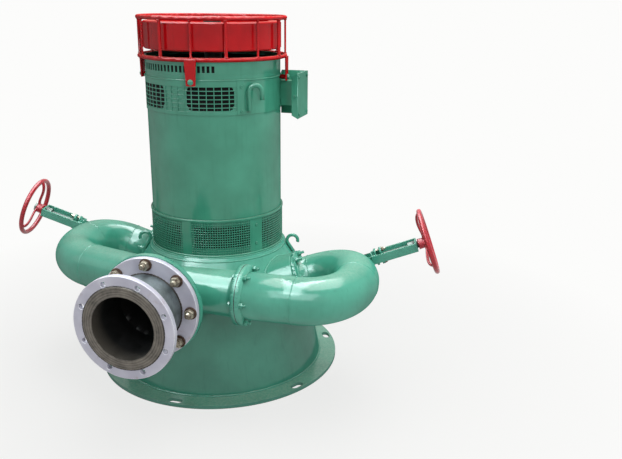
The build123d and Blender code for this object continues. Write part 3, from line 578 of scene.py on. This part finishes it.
# the faces of the flange pair, on the tee and on the right arm, get the rough coat
for piece in (tee, right_arm):
    rough_index = len(piece.data.materials)
    piece.data.materials.append(cast_enamel)
    for face in piece.data.polygons:
        off = face.center - RUN_JOINT
        if abs(off.x) < RUN_FLANGE + 0.0005 and hypot(off.y, off.z) > ARM_RADIUS + 0.002:
            face.material_index = rough_index

ELBOW_SEAM = ARM_RADIUS - 0.0008
FLANGE_SEAM = ARM_RADIUS + 0.001
LEFT_JOINT = 0.123
left_way = branch_ways[1]
flange_thickness = Vector((RUN_FLANGE, 0, 0))
seams = {}
for side, sign in SIDES.items():
    rear, front, out = REAR_CORNERS[side], FRONT_CORNERS[side], jet_direction(sign)
    reach = (rear - front).length - ELBOW_SPACER
    rear_tangent = reach * REAR_SHARES[side]
    front_tangent = reach * (1 - REAR_SHARES[side])
    run_way = (TEE_MIDDLE - front).normalized()
    cross_way = (front - rear).normalized()
    middle = rear + cross_way * (rear_tangent + ELBOW_SPACER / 2)
    seams[f"{side}_rear_elbow"] = (rear - out * rear_tangent, out, ELBOW_SEAM, SMALL_BEAD)
    seams[f"{side}_front_elbow"] = (front + run_way * front_tangent, run_way, ELBOW_SEAM, SMALL_BEAD)
    seams[f"{side}_middle_elbow"] = (middle, cross_way, ELBOW_SEAM, 0.0020)
    seams[f"{side}_arm_flange"] = (jet_point(sign, HOUSING_FACES[side] + ARM_FLANGE), out, FLANGE_SEAM,
                                   0.0032)
seams["run_flange"] = (RUN_JOINT + flange_thickness, RUN_WAY, FLANGE_SEAM, 0.0030)
seams["run_branch"] = (RUN_JOINT - flange_thickness, RUN_WAY, ARM_RADIUS, 0.0030)
seams["left_branch"] = (TEE_MIDDLE + left_way * LEFT_JOINT, left_way, ARM_RADIUS, SMALL_BEAD)
for name, (centre, axis, radius, thickness) in seams.items():
    weld_bead(f"{name}_weld", ring(centre, axis, radius), casing_enamel, thickness)


def bolt_circle(count, radius, spot, first=0.0):
    """The spots of a bolt circle, each made from its two offsets from the circle's middle."""
    angles = [2 * pi * (k + first) / count for k in range(count)]
    return [spot(radius * cos(a), radius * sin(a)) for a in angles]


# M10 bolts through the run's flange pair: nuts on the arm's side, heads on the tee's side
M10_NUT = (0.017, 0.0085, 0.0105, 0.005)    # across flats, height, washer's radius, stud's radius
RUN_BOLTS = (6, 0.0875)
run_spots = bolt_circle(*RUN_BOLTS, lambda u, v: (RUN_JOINT + Vector((RUN_FLANGE, -u, v)), RUN_WAY))
head_spots = bolt_circle(*RUN_BOLTS, lambda u, v: (RUN_JOINT - Vector((RUN_FLANGE, u, -v)), (-1, 0, 0)))
set_copies(nut_pattern(*M10_NUT, standing=0.010), run_spots, "run_flange_nuts", casing_enamel)
set_copies(bolt_head(0.0098, 0.0066, 0.0009, washer=0.0105), head_spots, "run_flange_bolt_heads",
           casing_enamel)

JOINT_BOLTS = (8, 0.0925)
for side, sign in SIDES.items():
    face_at = HOUSING_FACES[side] + ARM_FLANGE
    spots = bolt_circle(*JOINT_BOLTS, lambda u, v: (jet_point(sign, face_at, u, v), jet_direction(sign)), 0.5)
    set_copies(nut_pattern(*M10_NUT, standing=0.012), spots, f"{side}_joint_nuts", casing_enamel)


# Inlet: a short length of bare steel pipe between two grey-painted pipe flanges, bolted to the tee's own
# flange by eight big rusty bolts. A raised ring of dark, machined iron stands on the outer flange.
STUB_RADIUS = 0.1095
INLET_FLANGE = 0.018
INLET_BOLTS = (8, 0.140)
INLET = (0, 0, RUN_HEIGHT)
INWARDS = (0, 1, 0)
OUTWARDS = (0, -1, 0)

# lilac-grey primer, brushed over a turned flange, in clouds about 60 mm across
flange_paint, add, place = fresh_material("brushed_grey_primer")
clouds = add("TexNoise", [place, 16.0, 4.0])
cloudy = add("MapRange", [clouds, 0.35, 0.7, 0.0, 0.6])
coat = add("Mix", [cloudy, "#c3c1cd", "#a19eae"])
# rust stains, about 40 mm across, where the primer is thin
stains = add("TexNoise", [place, 24.0, 6.0, 0.7])
stained = add("MapRange", [stains, 0.58, 0.75, 0.0, 0.55])
stain = add("Mix", [stained, coat, "#927669"])
# near-white edges: metal that the brush and the crate rubbed bare, lightened further as a painted highlight
rounded = add("Bevel", {"Radius": 0.0025}, samples=8)
edge_dot = add("VectorMath", [rounded, add("NewGeometry").outputs["Normal"]], "DOT_PRODUCT")
edge = add("MapRange", [edge_dot, 0.995, 0.93, 0.0, 0.8])
rubbed_and_highlit = add("Mix", [edge, stain, "#f2f2f6"])
# brush strokes, 5 mm apart
strokes = add("Mapping", {"Vector": place, "Scale": (200.0, 200.0, 30.0)})
stroke = add("TexNoise", [strokes, 1.0, 3.0])
bump = add("Bump", {"Strength": 0.35, "Distance": 0.0004, "Height": stroke, "Normal": rounded})
paint = add("BsdfPrincipled", {"Base Color": rubbed_and_highlit, "Roughness": 0.42, "Metallic": 0.15, "Normal": bump})
add("OutputMaterial", [paint])


def turned_iron(name, bright, dark, metallic, roughness, groove=0.004, bore=0.0):
    """Iron turned on a lathe and left bare: tool rings about an axis along Y, dulled by brown rust film.

    What lies inside the bore's radius is painted brown-grey at the mouth and near black further in: painted
    shade of the bore.
    """
    material, add, place = fresh_material(name)
    centred = add("Mapping", {"Vector": place, "Location": (0.0, 0.0, -RUN_HEIGHT), "Scale": (1.0, 0.0, 1.0)})
    radius = add("VectorMath", [centred], "LENGTH")
    film = add("TexNoise", [place, 30.0, 5.0, 0.65])
    turns = add("Math", [radius, 2 * pi / groove], "MULTIPLY")
    rings = add("Math", [turns], "SINE")
    share = add("MapRange", [film, 0.38, 0.68, 0.0, 0.6])
    in_groove = add("MapRange", [rings, -1.0, 1.0, 0.0, 0.4])
    darkened = add("Math", [share, in_groove], "ADD")
    colour = add("Mix", [darkened, bright, dark])
    inside = add("Math", [radius, bore], "LESS_THAN")
    depth = add("SeparateXYZ", [place])
    # painted shade: the bore darkens from the mouth to near black 70 mm in
    deep_shade = add("MapRange", [depth.outputs["Y"], -0.735, -0.665])
    coat = add("Mix", [deep_shade, "#544f47", "#141414"])
    coated = add("Mix", [inside, colour, coat])
    rough = add("MapRange", [film, 0.3, 0.7, roughness, roughness + 0.25])
    metal = add("Math", [1.0, inside], "SUBTRACT")
    metal_share = add("Math", [metal, metallic], "MULTIPLY")
    rounded = add("Bevel", {"Radius": 0.0008}, samples=4)
    bump = add("Bump", {"Strength": 0.5, "Distance": 0.0005, "Height": rings, "Normal": rounded})
    iron = add("BsdfPrincipled", {
        "Base Color": coated, "Roughness": rough, "Metallic": metal_share, "Normal": bump})
    add("OutputMaterial", [iron])
    return material


def rusted_zinc(name, bright, rusty, from_share, to_share):
    """Zinc on machined bolts, worn bright on the flats and rusted brown in patches 8 mm across."""
    material, add, place = fresh_material(name)
    patches = add("TexNoise", [place, 90.0, 5.0, 0.7])
    rust = add("MapRange", [patches, from_share, to_share])
    colour = add("Mix", [rust, bright, rusty])
    # painted shade: dark brown where the bolt meets what it holds, reached within 12 mm
    nearness = add("AmbientOcclusion", {"Distance": 0.012}, samples=6)
    corner = add("MapRange", [nearness.outputs["AO"], 0.2, 0.8, 0.8, 0.0])
    shaded_in_corners = add("Mix", [corner, colour, "#33231a"])
    rough = add("MapRange", [rust, 0.0, 1.0, 0.30, 0.75])
    metallic = add("MapRange", [rust, 0.0, 1.0, 0.9, 0.35])
    pits = add("Bump", {"Strength": 0.4, "Distance": 0.0005, "Height": patches})
    zinc = add("BsdfPrincipled", {
        "Base Color": shaded_in_corners, "Roughness": rough, "Metallic": metallic, "Normal": pits})
    add("OutputMaterial", [zinc])
    return material


for node in ("stub_outer_flange", "stub_inner_flange"):
    dress(node, flange_paint, centre=INLET, axis=INWARDS)
pipe_steel = turned_iron("dull_pipe_steel", "#7b8688", "#4b5354", 0.55, 0.34, groove=0.012, bore=0.106)
dress("stub_pipe", pipe_steel, centre=INLET, axis=INWARDS)
ring_iron = turned_iron("machined_brown_iron", "#756e65", "#322e2a", 0.4, 0.38, groove=0.0075)
dress("stub_face_ring", ring_iron, centre=INLET, axis=INWARDS)

# Dark brown beads lie in the corner between the pipe and the inner flange, and in the groove round the face
# ring
FACE_RING_RADIUS = 0.1295
FACE_GROOVE_AT = 0.7308
INNER_FLANGE_FACE = -TEE_FACE - INLET_FLANGE
dark_bead_iron = turned_iron("dark_brown_bead", "#2e2722", "#1d1815", 0.0, 0.6)
for name, y, radius, thickness in (("pipe_dark_bead", INNER_FLANGE_FACE, STUB_RADIUS + 0.0005, 0.0032),
                                   ("face_ring_dark_bead", -FACE_GROOVE_AT, FACE_RING_RADIUS, 0.0017)):
    weld_bead(name, ring((0, y, RUN_HEIGHT), OUTWARDS, radius), dark_bead_iron, thickness)

bolt_zinc = rusted_zinc("rusted_grey_zinc", "#a39e8d", "#57463a", 0.42, 0.60)
washer_rust = rusted_zinc("rusted_brown_washers", "#66513f", "#3d2a21", 0.30, 0.50)
nut_spots = bolt_circle(*INLET_BOLTS, lambda u, v: ((u, INNER_FLANGE_FACE, RUN_HEIGHT + v), OUTWARDS))
head_spots = bolt_circle(*INLET_BOLTS, lambda u, v: ((u, INLET_FLANGE - TEE_FACE, RUN_HEIGHT + v), INWARDS))
WASHER = 0.0045
M16_NUT = (0.027, 0.015, 0.0, 0.0082)    # its washers are a piece of their own
nut = nut_pattern(*M16_NUT, standing=0.012, turns=5, lift=WASHER)
set_copies(nut, nut_spots, "inlet_nuts", bolt_zinc)
set_copies(bevelled_disc(0.0200, 0.0, WASHER, 0.0012, 32), nut_spots, "inlet_washers", washer_rust)
set_copies(bevelled_disc(0.0156, 0.0, 0.0105, 0.0014, 6), head_spots, "inlet_bolt_heads", casing_enamel)


# Spindle gear: on each rear bend a tube with a packed gland, and a yoke of welded flat bar that carries
# the nut of the needle's spindle. Yoke and gland are sprayed green, the rest is oiled steel.
BOSS_RADIUS = 0.020
BOSS_END = 0.634
GLAND_FACE = 0.654
GLAND_STUD_OFFSET = 0.0225
GLAND_STUD_RADIUS = 0.004
M7_NUT = (0.013, 0.0065, 0.0085, 0.0035)
YOKE_START = 0.616
YOKE_END = 0.778
YOKE_WIDTH = 0.066
YOKE_BAR = 0.030
YOKE_INSET = 0.006


def machined_steel(name, colour, roughness):
    """Bright turned steel, dulled in clouds by oil and handling."""
    material, add, place = fresh_material(name)
    clouds = add("TexNoise", [place, 60.0, 5.0])
    share = add("MapRange", [clouds, 0.4, 0.7, 0.0, 0.35])
    tone = add("Mix", [share, colour, "#4b3f33"])
    rough = add("MapRange", [clouds, 0.3, 0.7, roughness, roughness + 0.2])
    rounded = add("Bevel", {"Radius": 0.0005}, samples=4)
    steel = add("BsdfPrincipled", {
        "Base Color": tone, "Roughness": rough, "Metallic": 0.6, "Normal": rounded})
    add("OutputMaterial", [steel])
    return material


bright_steel = machined_steel("oiled_spindle_steel", "#6d7873", 0.42)
nozzle_steel = machined_steel("cast_stainless_steel", "#8f8f8c", 0.45)
for side, sign in SIDES.items():
    for part in ("spindle_boss", "yoke"):
        dress(f"{side}_{part}", casing_enamel)
    dress(f"{side}_gland", casing_enamel)
    dress(f"{side}_nozzle", nozzle_steel)
    for part in ("spindle", "spindle_nut"):
        dress(f"{side}_{part}", bright_steel)
    out = jet_direction(sign)
    weld_bead(f"{side}_yoke_weld", ring(jet_point(sign, YOKE_START), out, BOSS_RADIUS + 0.001), casing_enamel)
    # the studs that draw the gland into its packing stand on the boss's flange
    studs, places = [], []
    for rise in (-GLAND_STUD_OFFSET, GLAND_STUD_OFFSET):
        stud = threaded_end(GLAND_STUD_RADIUS, 0.0, GLAND_FACE - BOSS_END + 0.016, 9)
        stand(stud, jet_point(sign, BOSS_END, 0.0, rise), out)
        studs.append(stud)
        places.append((jet_point(sign, GLAND_FACE, 0.0, rise), out))
    finish_piece(joined(studs), f"{side}_gland_studs", bolt_zinc)
    set_copies(nut_pattern(*M7_NUT, standing=0.002), places, f"{side}_gland_nuts", bolt_zinc)
    # the two bars of the yoke are welded to its end plate
    rise_way = (jet_point(sign, YOKE_END, 0.0, 1.0) - jet_point(sign, YOKE_END)).normalized()
    for level in (-1, 1):
        corner = jet_point(sign, YOKE_END - YOKE_INSET, level * (YOKE_WIDTH / 2 - YOKE_INSET))
        points = [corner + rise_way * (YOKE_BAR * (i / 8 - 0.5)) for i in range(9)]
        weld_bead(f"{side}_yoke_corner_{level + 2}", points, casing_enamel, closed=False)


# Handwheels: cast iron, dipped in a thinner, duller red than the guard, worn pale where hands turn them.
# Each is keyed to its spindle nut and held by a thin locknut.
WHEEL_HUB_END = 0.809
LOCKNUT_RADIUS = 0.0175
LOCKNUT_HEIGHT = 0.008
LOCKNUT_LAND = 0.0046


def cast_paint(name, colour, worn, deep_shade):
    """Thin alkyd paint over sand-cast iron: a pebbled skin, worn pale on the proud parts."""
    material, add, place = fresh_material(name)
    clouds = add("TexNoise", [place, 22.0, 5.0])
    share = add("MapRange", [clouds, 0.48, 0.72, 0.0, 0.5])
    tone = add("Mix", [share, colour, worn])
    # painted shade in the corners, reached within 20 mm
    nearness = add("AmbientOcclusion", {"Distance": 0.02}, samples=6)
    corner = add("MapRange", [nearness.outputs["AO"], 0.25, 0.8, 0.5, 0.0])
    shaded_in_corners = add("Mix", [corner, tone, deep_shade])
    # pebbles of the sand mould, drawn 5 mm across because the real 1 mm ones can't show
    pebbles = add("TexNoise", [place, 200.0, 3.0])
    bump = add("Bump", {"Strength": 0.3, "Distance": 0.0003, "Height": pebbles})
    rough = add("MapRange", [clouds, 0.3, 0.7, 0.24, 0.42])
    paint = add("BsdfPrincipled", {"Base Color": shaded_in_corners, "Roughness": rough, "Normal": bump})
    add("OutputMaterial", [paint])
    return material


def cut_out(wall, test, land=0.0):
    """Cuts away each face that passes a test, and leaves land round it."""
    with chosen(wall, "polygons", test):
        if land:
            bpy.ops.mesh.inset(thickness=land, depth=0, use_individual=True)
        bpy.ops.mesh.delete(type="FACE")


wheel_red = cast_paint("red_alkyd_on_cast_iron", "#a81524", "#b8404c", "#3f0c10")
for side, sign in SIDES.items():
    dress(f"{side}_handwheel", wheel_red, sharp=50)
    locknut = bevelled_disc(LOCKNUT_RADIUS, 0.0, LOCKNUT_HEIGHT, 0.0010, 6)
    cut_out(locknut, lambda at, face: abs(at.z) < 1e-5 and abs(face.normal.z) > 0.9)
    cut_out(locknut, lambda at, face: at.z > LOCKNUT_HEIGHT - 1e-4 and face.normal.z > 0.9, LOCKNUT_LAND)
    set_copies(locknut, [(jet_point(sign, WHEEL_HUB_END), jet_direction(sign))], f"{side}_locknut",
               bright_steel, f"{side}_wheel")


# Generator shell: rolled 6 mm plate with a butt seam, under the same enamel drawn darker, as painted shade.
# It is bare and dark inside, where the air passes. Its windows are cut through under the two pierced bands.
SHELL_RADIUS = 0.234
SHELL_INSIDE = 0.2285
SHELL_FOOT = 0.465
SHELL_TOP = 1.083

# the same enamel drawn a shade darker than the casing's, as painted shade, sprayed only on the outside
generator_enamel = sprayed_enamel("mid_green_enamel", "#45967c", "#2f775f", glossy=0.15, ripple=0.00025,
                                  sag=0.0015, inside=SHELL_INSIDE)
dress("generator_frame", generator_enamel, centre=SHAFT)
# the foot of the lower band sits in a bead on the casing's top plate
weld_bead("shell_foot_weld", ring((0, 0, SHELL_FOOT), UP, SHELL_RADIUS + 0.0075), casing_enamel)


# Pierced bands: punched sheet strapped round each row of windows. The upper one is wrapped tight and folded
# over along its top, the lower one stands off the shell between two hoops of flat bar.
LOWER_WINDOWS = [-64.3 + 60 * k for k in range(6)]
LOWER_WINDOW_ANGLE = 48.0
LOWER_BAND_RADIUS = 0.239
LOWER_BAND_TOP = 0.600
LOWER_COLUMNS = 180
LOWER_ROWS = 16
LOWER_LAND = 0.0012
LAP_ANGLES = (-34.3, 145.7)
LAP_HALF = 6.0
HOOP_RADIUS = 0.241
HOOP_HEIGHT = 0.008
HOOP_THICKNESS = 0.0065
UPPER_BAND_FOOT = 0.955
UPPER_BAND_RADIUS = 0.2363
UPPER_WINDOWS = (-130.9, -70.9, 49.1, 109.1, 169.1)
UPPER_COLUMNS = 60
UPPER_ROWS = 6
UPPER_ROW_HEIGHT = 0.0136
UPPER_LAND = 0.0014
UPPER_HOLES_FOOT = 0.966
PIERCED_FIELDS = ((-100.0, 50.0), (107.5, 79.5))    # middle and half width, in degrees
FOLD_RADIUS = 0.2385
FOLD_FOOT = 1.065
FOLD_TOP = 1.070
FOLD_THICKNESS = 0.0036
SHEET = 0.0016
UPPER_LAP_ANGLE = -46.0
UPPER_LAP_HALF = 2.8
UPPER_LAP_RADIUS = UPPER_BAND_RADIUS + 0.0014
LAP_SHEET = 0.0013


def turned(angle, radius, height):
    """A point at an angle in degrees about the shaft."""
    return Vector((radius * cos(radians(angle)), radius * sin(radians(angle)), height))


def apart(point, angle):
    """How far a point's angle about the shaft is from another, in degrees."""
    return abs((degrees(atan2(point.y, point.x)) - angle + 180) % 360 - 180)


def sheet_wall(columns, radius, bottom, top, rows=1, first_angle=0.0):
    """A rolled sheet's outer face in columns and rows. One column starts at the given angle."""
    middle = (top + bottom) / 2
    wall = upright(columns, radius, middle, top - bottom, fill="NOTHING")
    wall.data.transform(Matrix.Rotation(radians(first_angle) - pi / 2, 4, "Z"))
    if rows > 1:
        with chosen(wall, "edges", lambda at, edge: abs(at.z - middle) < 1e-5):
            bpy.ops.mesh.subdivide(number_cuts=rows - 1)
    return wall


def thicken(wall, thickness):
    """Gives a sheet its thickness, inwards."""
    merge_points(wall, 0.00002)
    bpy.ops.object.modifier_add(type="SOLIDIFY")
    wall.modifiers["Solidify"].thickness = thickness
    wall.modifiers["Solidify"].offset = -1
    bpy.ops.object.modifier_apply(modifier="Solidify")
    return wall


def rounded_bar(columns, radius, bottom, top, thickness):
    """A rolled bar whose outer edges are rounded, so that they catch the light."""
    bar = thicken(sheet_wall(columns, radius, bottom, top), thickness)
    with chosen(bar, "edges", lambda at, edge: at.xy.length > radius - thickness / 3
                and abs(abs(at.z - (top + bottom) / 2) - (top - bottom) / 2) < 1e-5):
        bpy.ops.mesh.bevel(offset=0.0016, segments=3, affect="EDGES")
    return bar


def in_lower_pattern(at, face):
    """Whether a face of the lower band is punched: over the windows and one row past them all round."""
    if not SHELL_FOOT + HOOP_HEIGHT < at.z < LOWER_BAND_TOP - HOOP_HEIGHT:
        return False
    if any(apart(at, angle) < LAP_HALF for angle in LAP_ANGLES):
        return False
    return any(apart(at, angle) < LOWER_WINDOW_ANGLE / 2 + 360 / LOWER_COLUMNS for angle in LOWER_WINDOWS)


lower_sheet = sheet_wall(LOWER_COLUMNS, LOWER_BAND_RADIUS, SHELL_FOOT, LOWER_BAND_TOP, LOWER_ROWS,
                         LOWER_WINDOWS[0] - LOWER_WINDOW_ANGLE / 2)
cut_out(lower_sheet, in_lower_pattern, LOWER_LAND)
thicken(lower_sheet, SHEET)
hoops = [rounded_bar(LOWER_COLUMNS, HOOP_RADIUS, foot, foot + HOOP_HEIGHT, HOOP_THICKNESS)
         for foot in (SHELL_FOOT, LOWER_BAND_TOP - HOOP_HEIGHT)]
lower_band = finish_piece(joined([lower_sheet, *hoops]), "lower_band_pierced", generator_enamel)
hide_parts("lower_vent_band")

first_column = UPPER_WINDOWS[1] - 360 / UPPER_COLUMNS / 2
holes_top = UPPER_HOLES_FOOT + UPPER_ROWS * UPPER_ROW_HEIGHT
strips = [sheet_wall(UPPER_COLUMNS, UPPER_BAND_RADIUS, foot, head, rows, first_column)
          for foot, head, rows in ((UPPER_HOLES_FOOT, holes_top, UPPER_ROWS),
                                   (UPPER_BAND_FOOT, UPPER_HOLES_FOOT, 1), (holes_top, FOLD_TOP, 1))]
select_only(strips[0])
cut_out(strips[0], lambda at, face: any(apart(at, angle) < half for angle, half in PIERCED_FIELDS),
        UPPER_LAND)
upper_sheet = thicken(joined(strips), SHEET)
fold = rounded_bar(UPPER_COLUMNS * 2, FOLD_RADIUS, FOLD_FOOT, FOLD_TOP, FOLD_THICKNESS)
# the end of the wrap laps over its start
lap = sheet_wall(UPPER_COLUMNS * 4, UPPER_LAP_RADIUS, UPPER_BAND_FOOT, FOLD_FOOT)
cut_out(lap, lambda at, face: apart(at, UPPER_LAP_ANGLE) > UPPER_LAP_HALF)
upper_band = finish_piece(joined([upper_sheet, fold, thicken(lap, LAP_SHEET)]), "upper_band_pierced",
                          generator_enamel, sharp=30)
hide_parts("upper_vent_band")


LINING_COLUMNS = 480
LINING_ROW = 0.003
LINING_MARGIN = 3.5
LINING_SHEET = 0.0005


def windowed_lining(name, radius, foot, head, middles, half_angle, low, high, corner):
    """A thin sheet behind a pierced band, cut out in windows with rounded corners."""
    def cut(at, face):
        for angle in middles:
            side = radians(half_angle - apart(at, angle)) * radius
            end = min(at.z - low, high - at.z)
            if min(side, end) > 0 and (max(side, end) > corner
                                       or hypot(corner - side, corner - end) < corner):
                return True
        return all(apart(at, angle) > half_angle + LINING_MARGIN for angle in middles)

    lining = sheet_wall(LINING_COLUMNS, radius, foot, head, round((head - foot) / LINING_ROW))
    cut_out(lining, cut)
    finish_piece(thicken(lining, LINING_SHEET), name, generator_enamel)


# the shell's own windows are smaller than the punched fields: rounded linings show through the outer holes
windowed_lining("upper_lining", 0.2346, 0.958, 1.060, UPPER_WINDOWS, 18.8, 0.970, 1.0485, 0.018)
windowed_lining("lower_lining", 0.2362, 0.474, 0.592, LOWER_WINDOWS, 23.8, 0.497, 0.576, 0.009)

# the top cover: 3 mm sheet with a row of upright slots, 21 mm by 9, at the front left and at the back right
COVER_TOP = 1.136
COVER_WALL = 0.003
COVER_COLUMNS = 95
COVER_FIRST = -142.0
COVER_SLOTS = 20
SLOT_LAND = 0.0030
SLOT_FOOT = 1.0885
SLOT_TOP = 1.1155
last_slot = COVER_FIRST + COVER_SLOTS * (360 / COVER_COLUMNS)
rings = [sheet_wall(COVER_COLUMNS, SHELL_RADIUS, foot, head, first_angle=COVER_FIRST)
         for foot, head in ((SLOT_FOOT, SLOT_TOP), (SHELL_TOP, SLOT_FOOT), (SLOT_TOP, COVER_TOP))]
select_only(rings[0])
cut_out(rings[0], lambda at, face: any(COVER_FIRST < degrees(atan2(at.y, at.x)) + turn < last_slot
                                       for turn in (0, -180, -360, 180)), SLOT_LAND)
top_cover = finish_piece(thicken(joined(rings), COVER_WALL), "top_cover_slotted", generator_enamel, sharp=30)
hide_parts("top_cover")


def pan_screw(radius=0.0055):
    """A pan-headed screw with a round recess."""
    screw = bevelled_disc(radius, 0.0, radius * 0.62, radius * 0.28, 18)
    with chosen(screw, "polygons", lambda at, face: at.z > radius * 0.61 and face.normal.z > 0.99):
        bpy.ops.mesh.inset(thickness=radius * 0.30, depth=0)
        bpy.ops.mesh.inset(thickness=radius * 0.03, depth=-radius * 0.3)
    return screw


places = [(angle, LOWER_BAND_RADIUS, height) for angle in LAP_ANGLES for height in (0.503, 0.570)]
places += [(UPPER_LAP_ANGLE, UPPER_LAP_RADIUS, height) for height in (0.967, 1.046)]
band_screws = [(turned(*place), turned(place[0], 1, 0)) for place in places]
set_copies(pan_screw(), band_screws, "band_screws", generator_enamel)


# Gauze: black wire cloth clamped inside the shell, behind the windows and behind the slots of the top
# cover, keeps drops and insects out. Nothing can be seen through it from outside: its near black is partly
# the wire's own colour and partly painted shade of the shell's inside.
GAUZE_MESH = 0.003
GAUZE_THICKNESS = 0.0006
GAUZE_RINGS = {"lower": (0.2278, 0.478, 0.584), "upper": (0.2278, 0.958, 1.058),
               "cover": (0.2308, 1.088, 1.121)}

wire_cloth_and_shade, add, place = fresh_material("black_japanned_wire_cloth_and_painted_shade")
split = add("SeparateXYZ", [place])
angle = add("Math", [split.outputs["Y"], split.outputs["X"]], operation="ARCTAN2")
# the weave is drawn 3 mm wide, because the real 1 mm mesh can't show
warp = add("Math", [angle, round(2 * pi * SHELL_INSIDE / GAUZE_MESH)], "MULTIPLY")
weft = add("Math", [split.outputs["Z"], 2 * pi / GAUZE_MESH], "MULTIPLY")
waves = [add("Math", [turns], "SINE") for turns in (warp, weft)]
wires = add("Math", waves, "MAXIMUM")
# the gaps between the wires are painted darker, as painted shade behind them
lit = add("MapRange", [wires, 0.0, 1.0])
tone = add("Mix", [lit, "#050606", "#171b1a"])
bump = add("Bump", {"Strength": 0.5, "Distance": 0.0004, "Height": wires})
japan = add("BsdfPrincipled", {
    "Base Color": tone, "Roughness": 0.8, "Specular IOR Level": 0.1, "Normal": bump})
add("OutputMaterial", [japan])
for name, (radius, foot, head) in GAUZE_RINGS.items():
    gauze = thicken(sheet_wall(96, radius, foot, head), GAUZE_THICKNESS)
    finish_piece(gauze, f"{name}_gauze", wire_cloth_and_shade)


# Inside the shell: cast end shields in dark primer, a stack of varnished laminations, taped windings, and
# the rotor on its steel shaft. They show only through the windows and from above.
def varnished_stack(name, colour, dark, sheet_height, roughness):
    """A stack of laminations under varnish: fine level bands, drawn 4 mm high so that they can show."""
    material, add, place = fresh_material(name)
    split = add("SeparateXYZ", [place])
    turns = add("Math", [split.outputs["Z"], 2 * pi / sheet_height], "MULTIPLY")
    bands = add("Math", [turns], "SINE")
    share = add("MapRange", [bands, -1.0, 1.0])
    tone = add("Mix", [share, colour, dark])
    bump = add("Bump", {"Strength": 0.4, "Distance": 0.0004, "Height": bands})
    varnish = add("BsdfPrincipled", {
        "Base Color": tone, "Roughness": roughness, "Metallic": 0.3, "Normal": bump})
    add("OutputMaterial", [varnish])
    return material


shield_primer = cast_paint("grey_green_cast_iron_primer", "#394b44", "#47584f", "#161d1a")
core_varnish = varnished_stack("varnished_laminations", "#2b2522", "#14110f", 0.004, 0.5)
winding_tape = varnished_stack("taped_copper_windings", "#3d2c22", "#1d1511", 0.009, 0.6)
dress("lower_end_shield", shield_primer, centre=SHAFT)
# the upper shield and the shaft above it are painted near black, as painted shade of the gap under the
# flywheel
shade_black_iron = cast_paint("shade_black_cast_iron", "#121515", "#1b201f", "#070808")
dress("upper_end_shield", shade_black_iron, centre=SHAFT)
for node in ("stator_core", "rotor_core"):
    dress(node, core_varnish, centre=SHAFT)
dress("stator_windings", winding_tape, centre=SHAFT)
shade_dark_steel = machined_steel("shade_dark_shaft_steel", "#2b2c2b", 0.45)
dress("shaft", shade_dark_steel, centre=SHAFT)
dress("runner", nozzle_steel)


# Terminal box: a folded sheet duct on the shell, closed by a bent cover. Four screws hold the cover's face
# and one holds its near flap. It has the shell's coat.
COVER_FACE = 0.320
COVER_MIDDLE = (0.020, 1.006)
COVER_WIDTH = 0.126
COVER_HEIGHT = 0.152
COVER_SCREW_INSET = 0.014

box_enamel = sprayed_enamel("box_green_enamel", "#45967c", "#31785f", glossy=0.16, ripple=0.0002,
                            sag=0.0008, wet=0.7)
for node in ("terminal_box", "terminal_box_cover"):
    dress(node, box_enamel)
half_width = COVER_WIDTH / 2 - COVER_SCREW_INSET
half_height = COVER_HEIGHT / 2 - COVER_SCREW_INSET
box_screws = [((COVER_FACE, COVER_MIDDLE[0] + y, COVER_MIDDLE[1] + z), (1, 0, 0))
              for y in (-half_width, half_width) for z in (-half_height, half_height)]
box_screws.append(((COVER_FACE - 0.012, COVER_MIDDLE[0] - COVER_WIDTH / 2, COVER_MIDDLE[1]), (0, -1, 0)))
set_copies(pan_screw(), box_screws, "cover_screws", box_enamel)


# Lifting hooks: bent round bar, welded to the shell and to the casing's shoulder, under the green coats.
HOOK_ANGLES = (-40.0, 140.0)
HOOK_STEM_FOOT = 0.967
HOOK_STEM_TOP = 1.030
HOOK_WALL = 0.2372
HOOK_HALF_ANGLE = 1.45
dress("generator_hooks", generator_enamel, sharp=50)
for angle in HOOK_ANGLES:
    for side in (-1, 1):
        points = [turned(angle + side * HOOK_HALF_ANGLE, HOOK_WALL,
                         HOOK_STEM_FOOT + (HOOK_STEM_TOP - HOOK_STEM_FOOT) * i / 15) for i in range(16)]
        weld_bead(f"hook_weld_{round(angle)}_{side + 2}", points, generator_enamel, closed=False)


# Flywheel and its guard: a heavy cast wheel in signal red, caged by two round-bar rings and fourteen bars.
# Four tapered straps hold the cage. They are bolted to the shell.
CAGE_RADIUS = 0.251
CAGE_RINGS = (1.133, 1.260)
CAGE_ROD = 0.007
CAGE_BARS = 14
THICK_BAR = 0.0055
THIN_BAR = 0.0035
GUARD_ANGLE = -84.0
STRAP_FACE = 0.2633
STRAP_BOLT_HEIGHT = 1.064

red_enamel = sprayed_enamel("signal_red_enamel", "#c20b14", "#93080f", ripple=0.0003, sag=0.0005, wet=0.5)
dress("flywheel", red_enamel, centre=SHAFT)
dress("cage_guard", red_enamel, sharp=50)
dress("cage_straps", red_enamel)

# each bar is welded to both rings
for first, rod, kind in ((0, THIN_BAR, "thin"), (1, THICK_BAR, "thick")):
    fillet = bead(ring((0, 0, 0), UP, rod + 0.0004), 0.0020)
    spots = []
    for k in range(CAGE_BARS // 2):
        angle = GUARD_ANGLE + 360 * (2 * k + first) / CAGE_BARS
        spots.append((turned(angle, CAGE_RADIUS, CAGE_RINGS[0] + CAGE_ROD), UP))
        spots.append((turned(angle, CAGE_RADIUS, CAGE_RINGS[1] - CAGE_ROD), UP))
    set_copies(fillet, spots, f"{kind}_bar_welds", red_enamel)

strap_bolts = [(turned(GUARD_ANGLE + 90 * k, STRAP_FACE, STRAP_BOLT_HEIGHT),
                turned(GUARD_ANGLE + 90 * k, 1, 0)) for k in range(4)]
set_copies(bolt_head(0.0078, 0.0058, 0.0008, washer=0.0095), strap_bolts, "strap_bolts", generator_enamel)
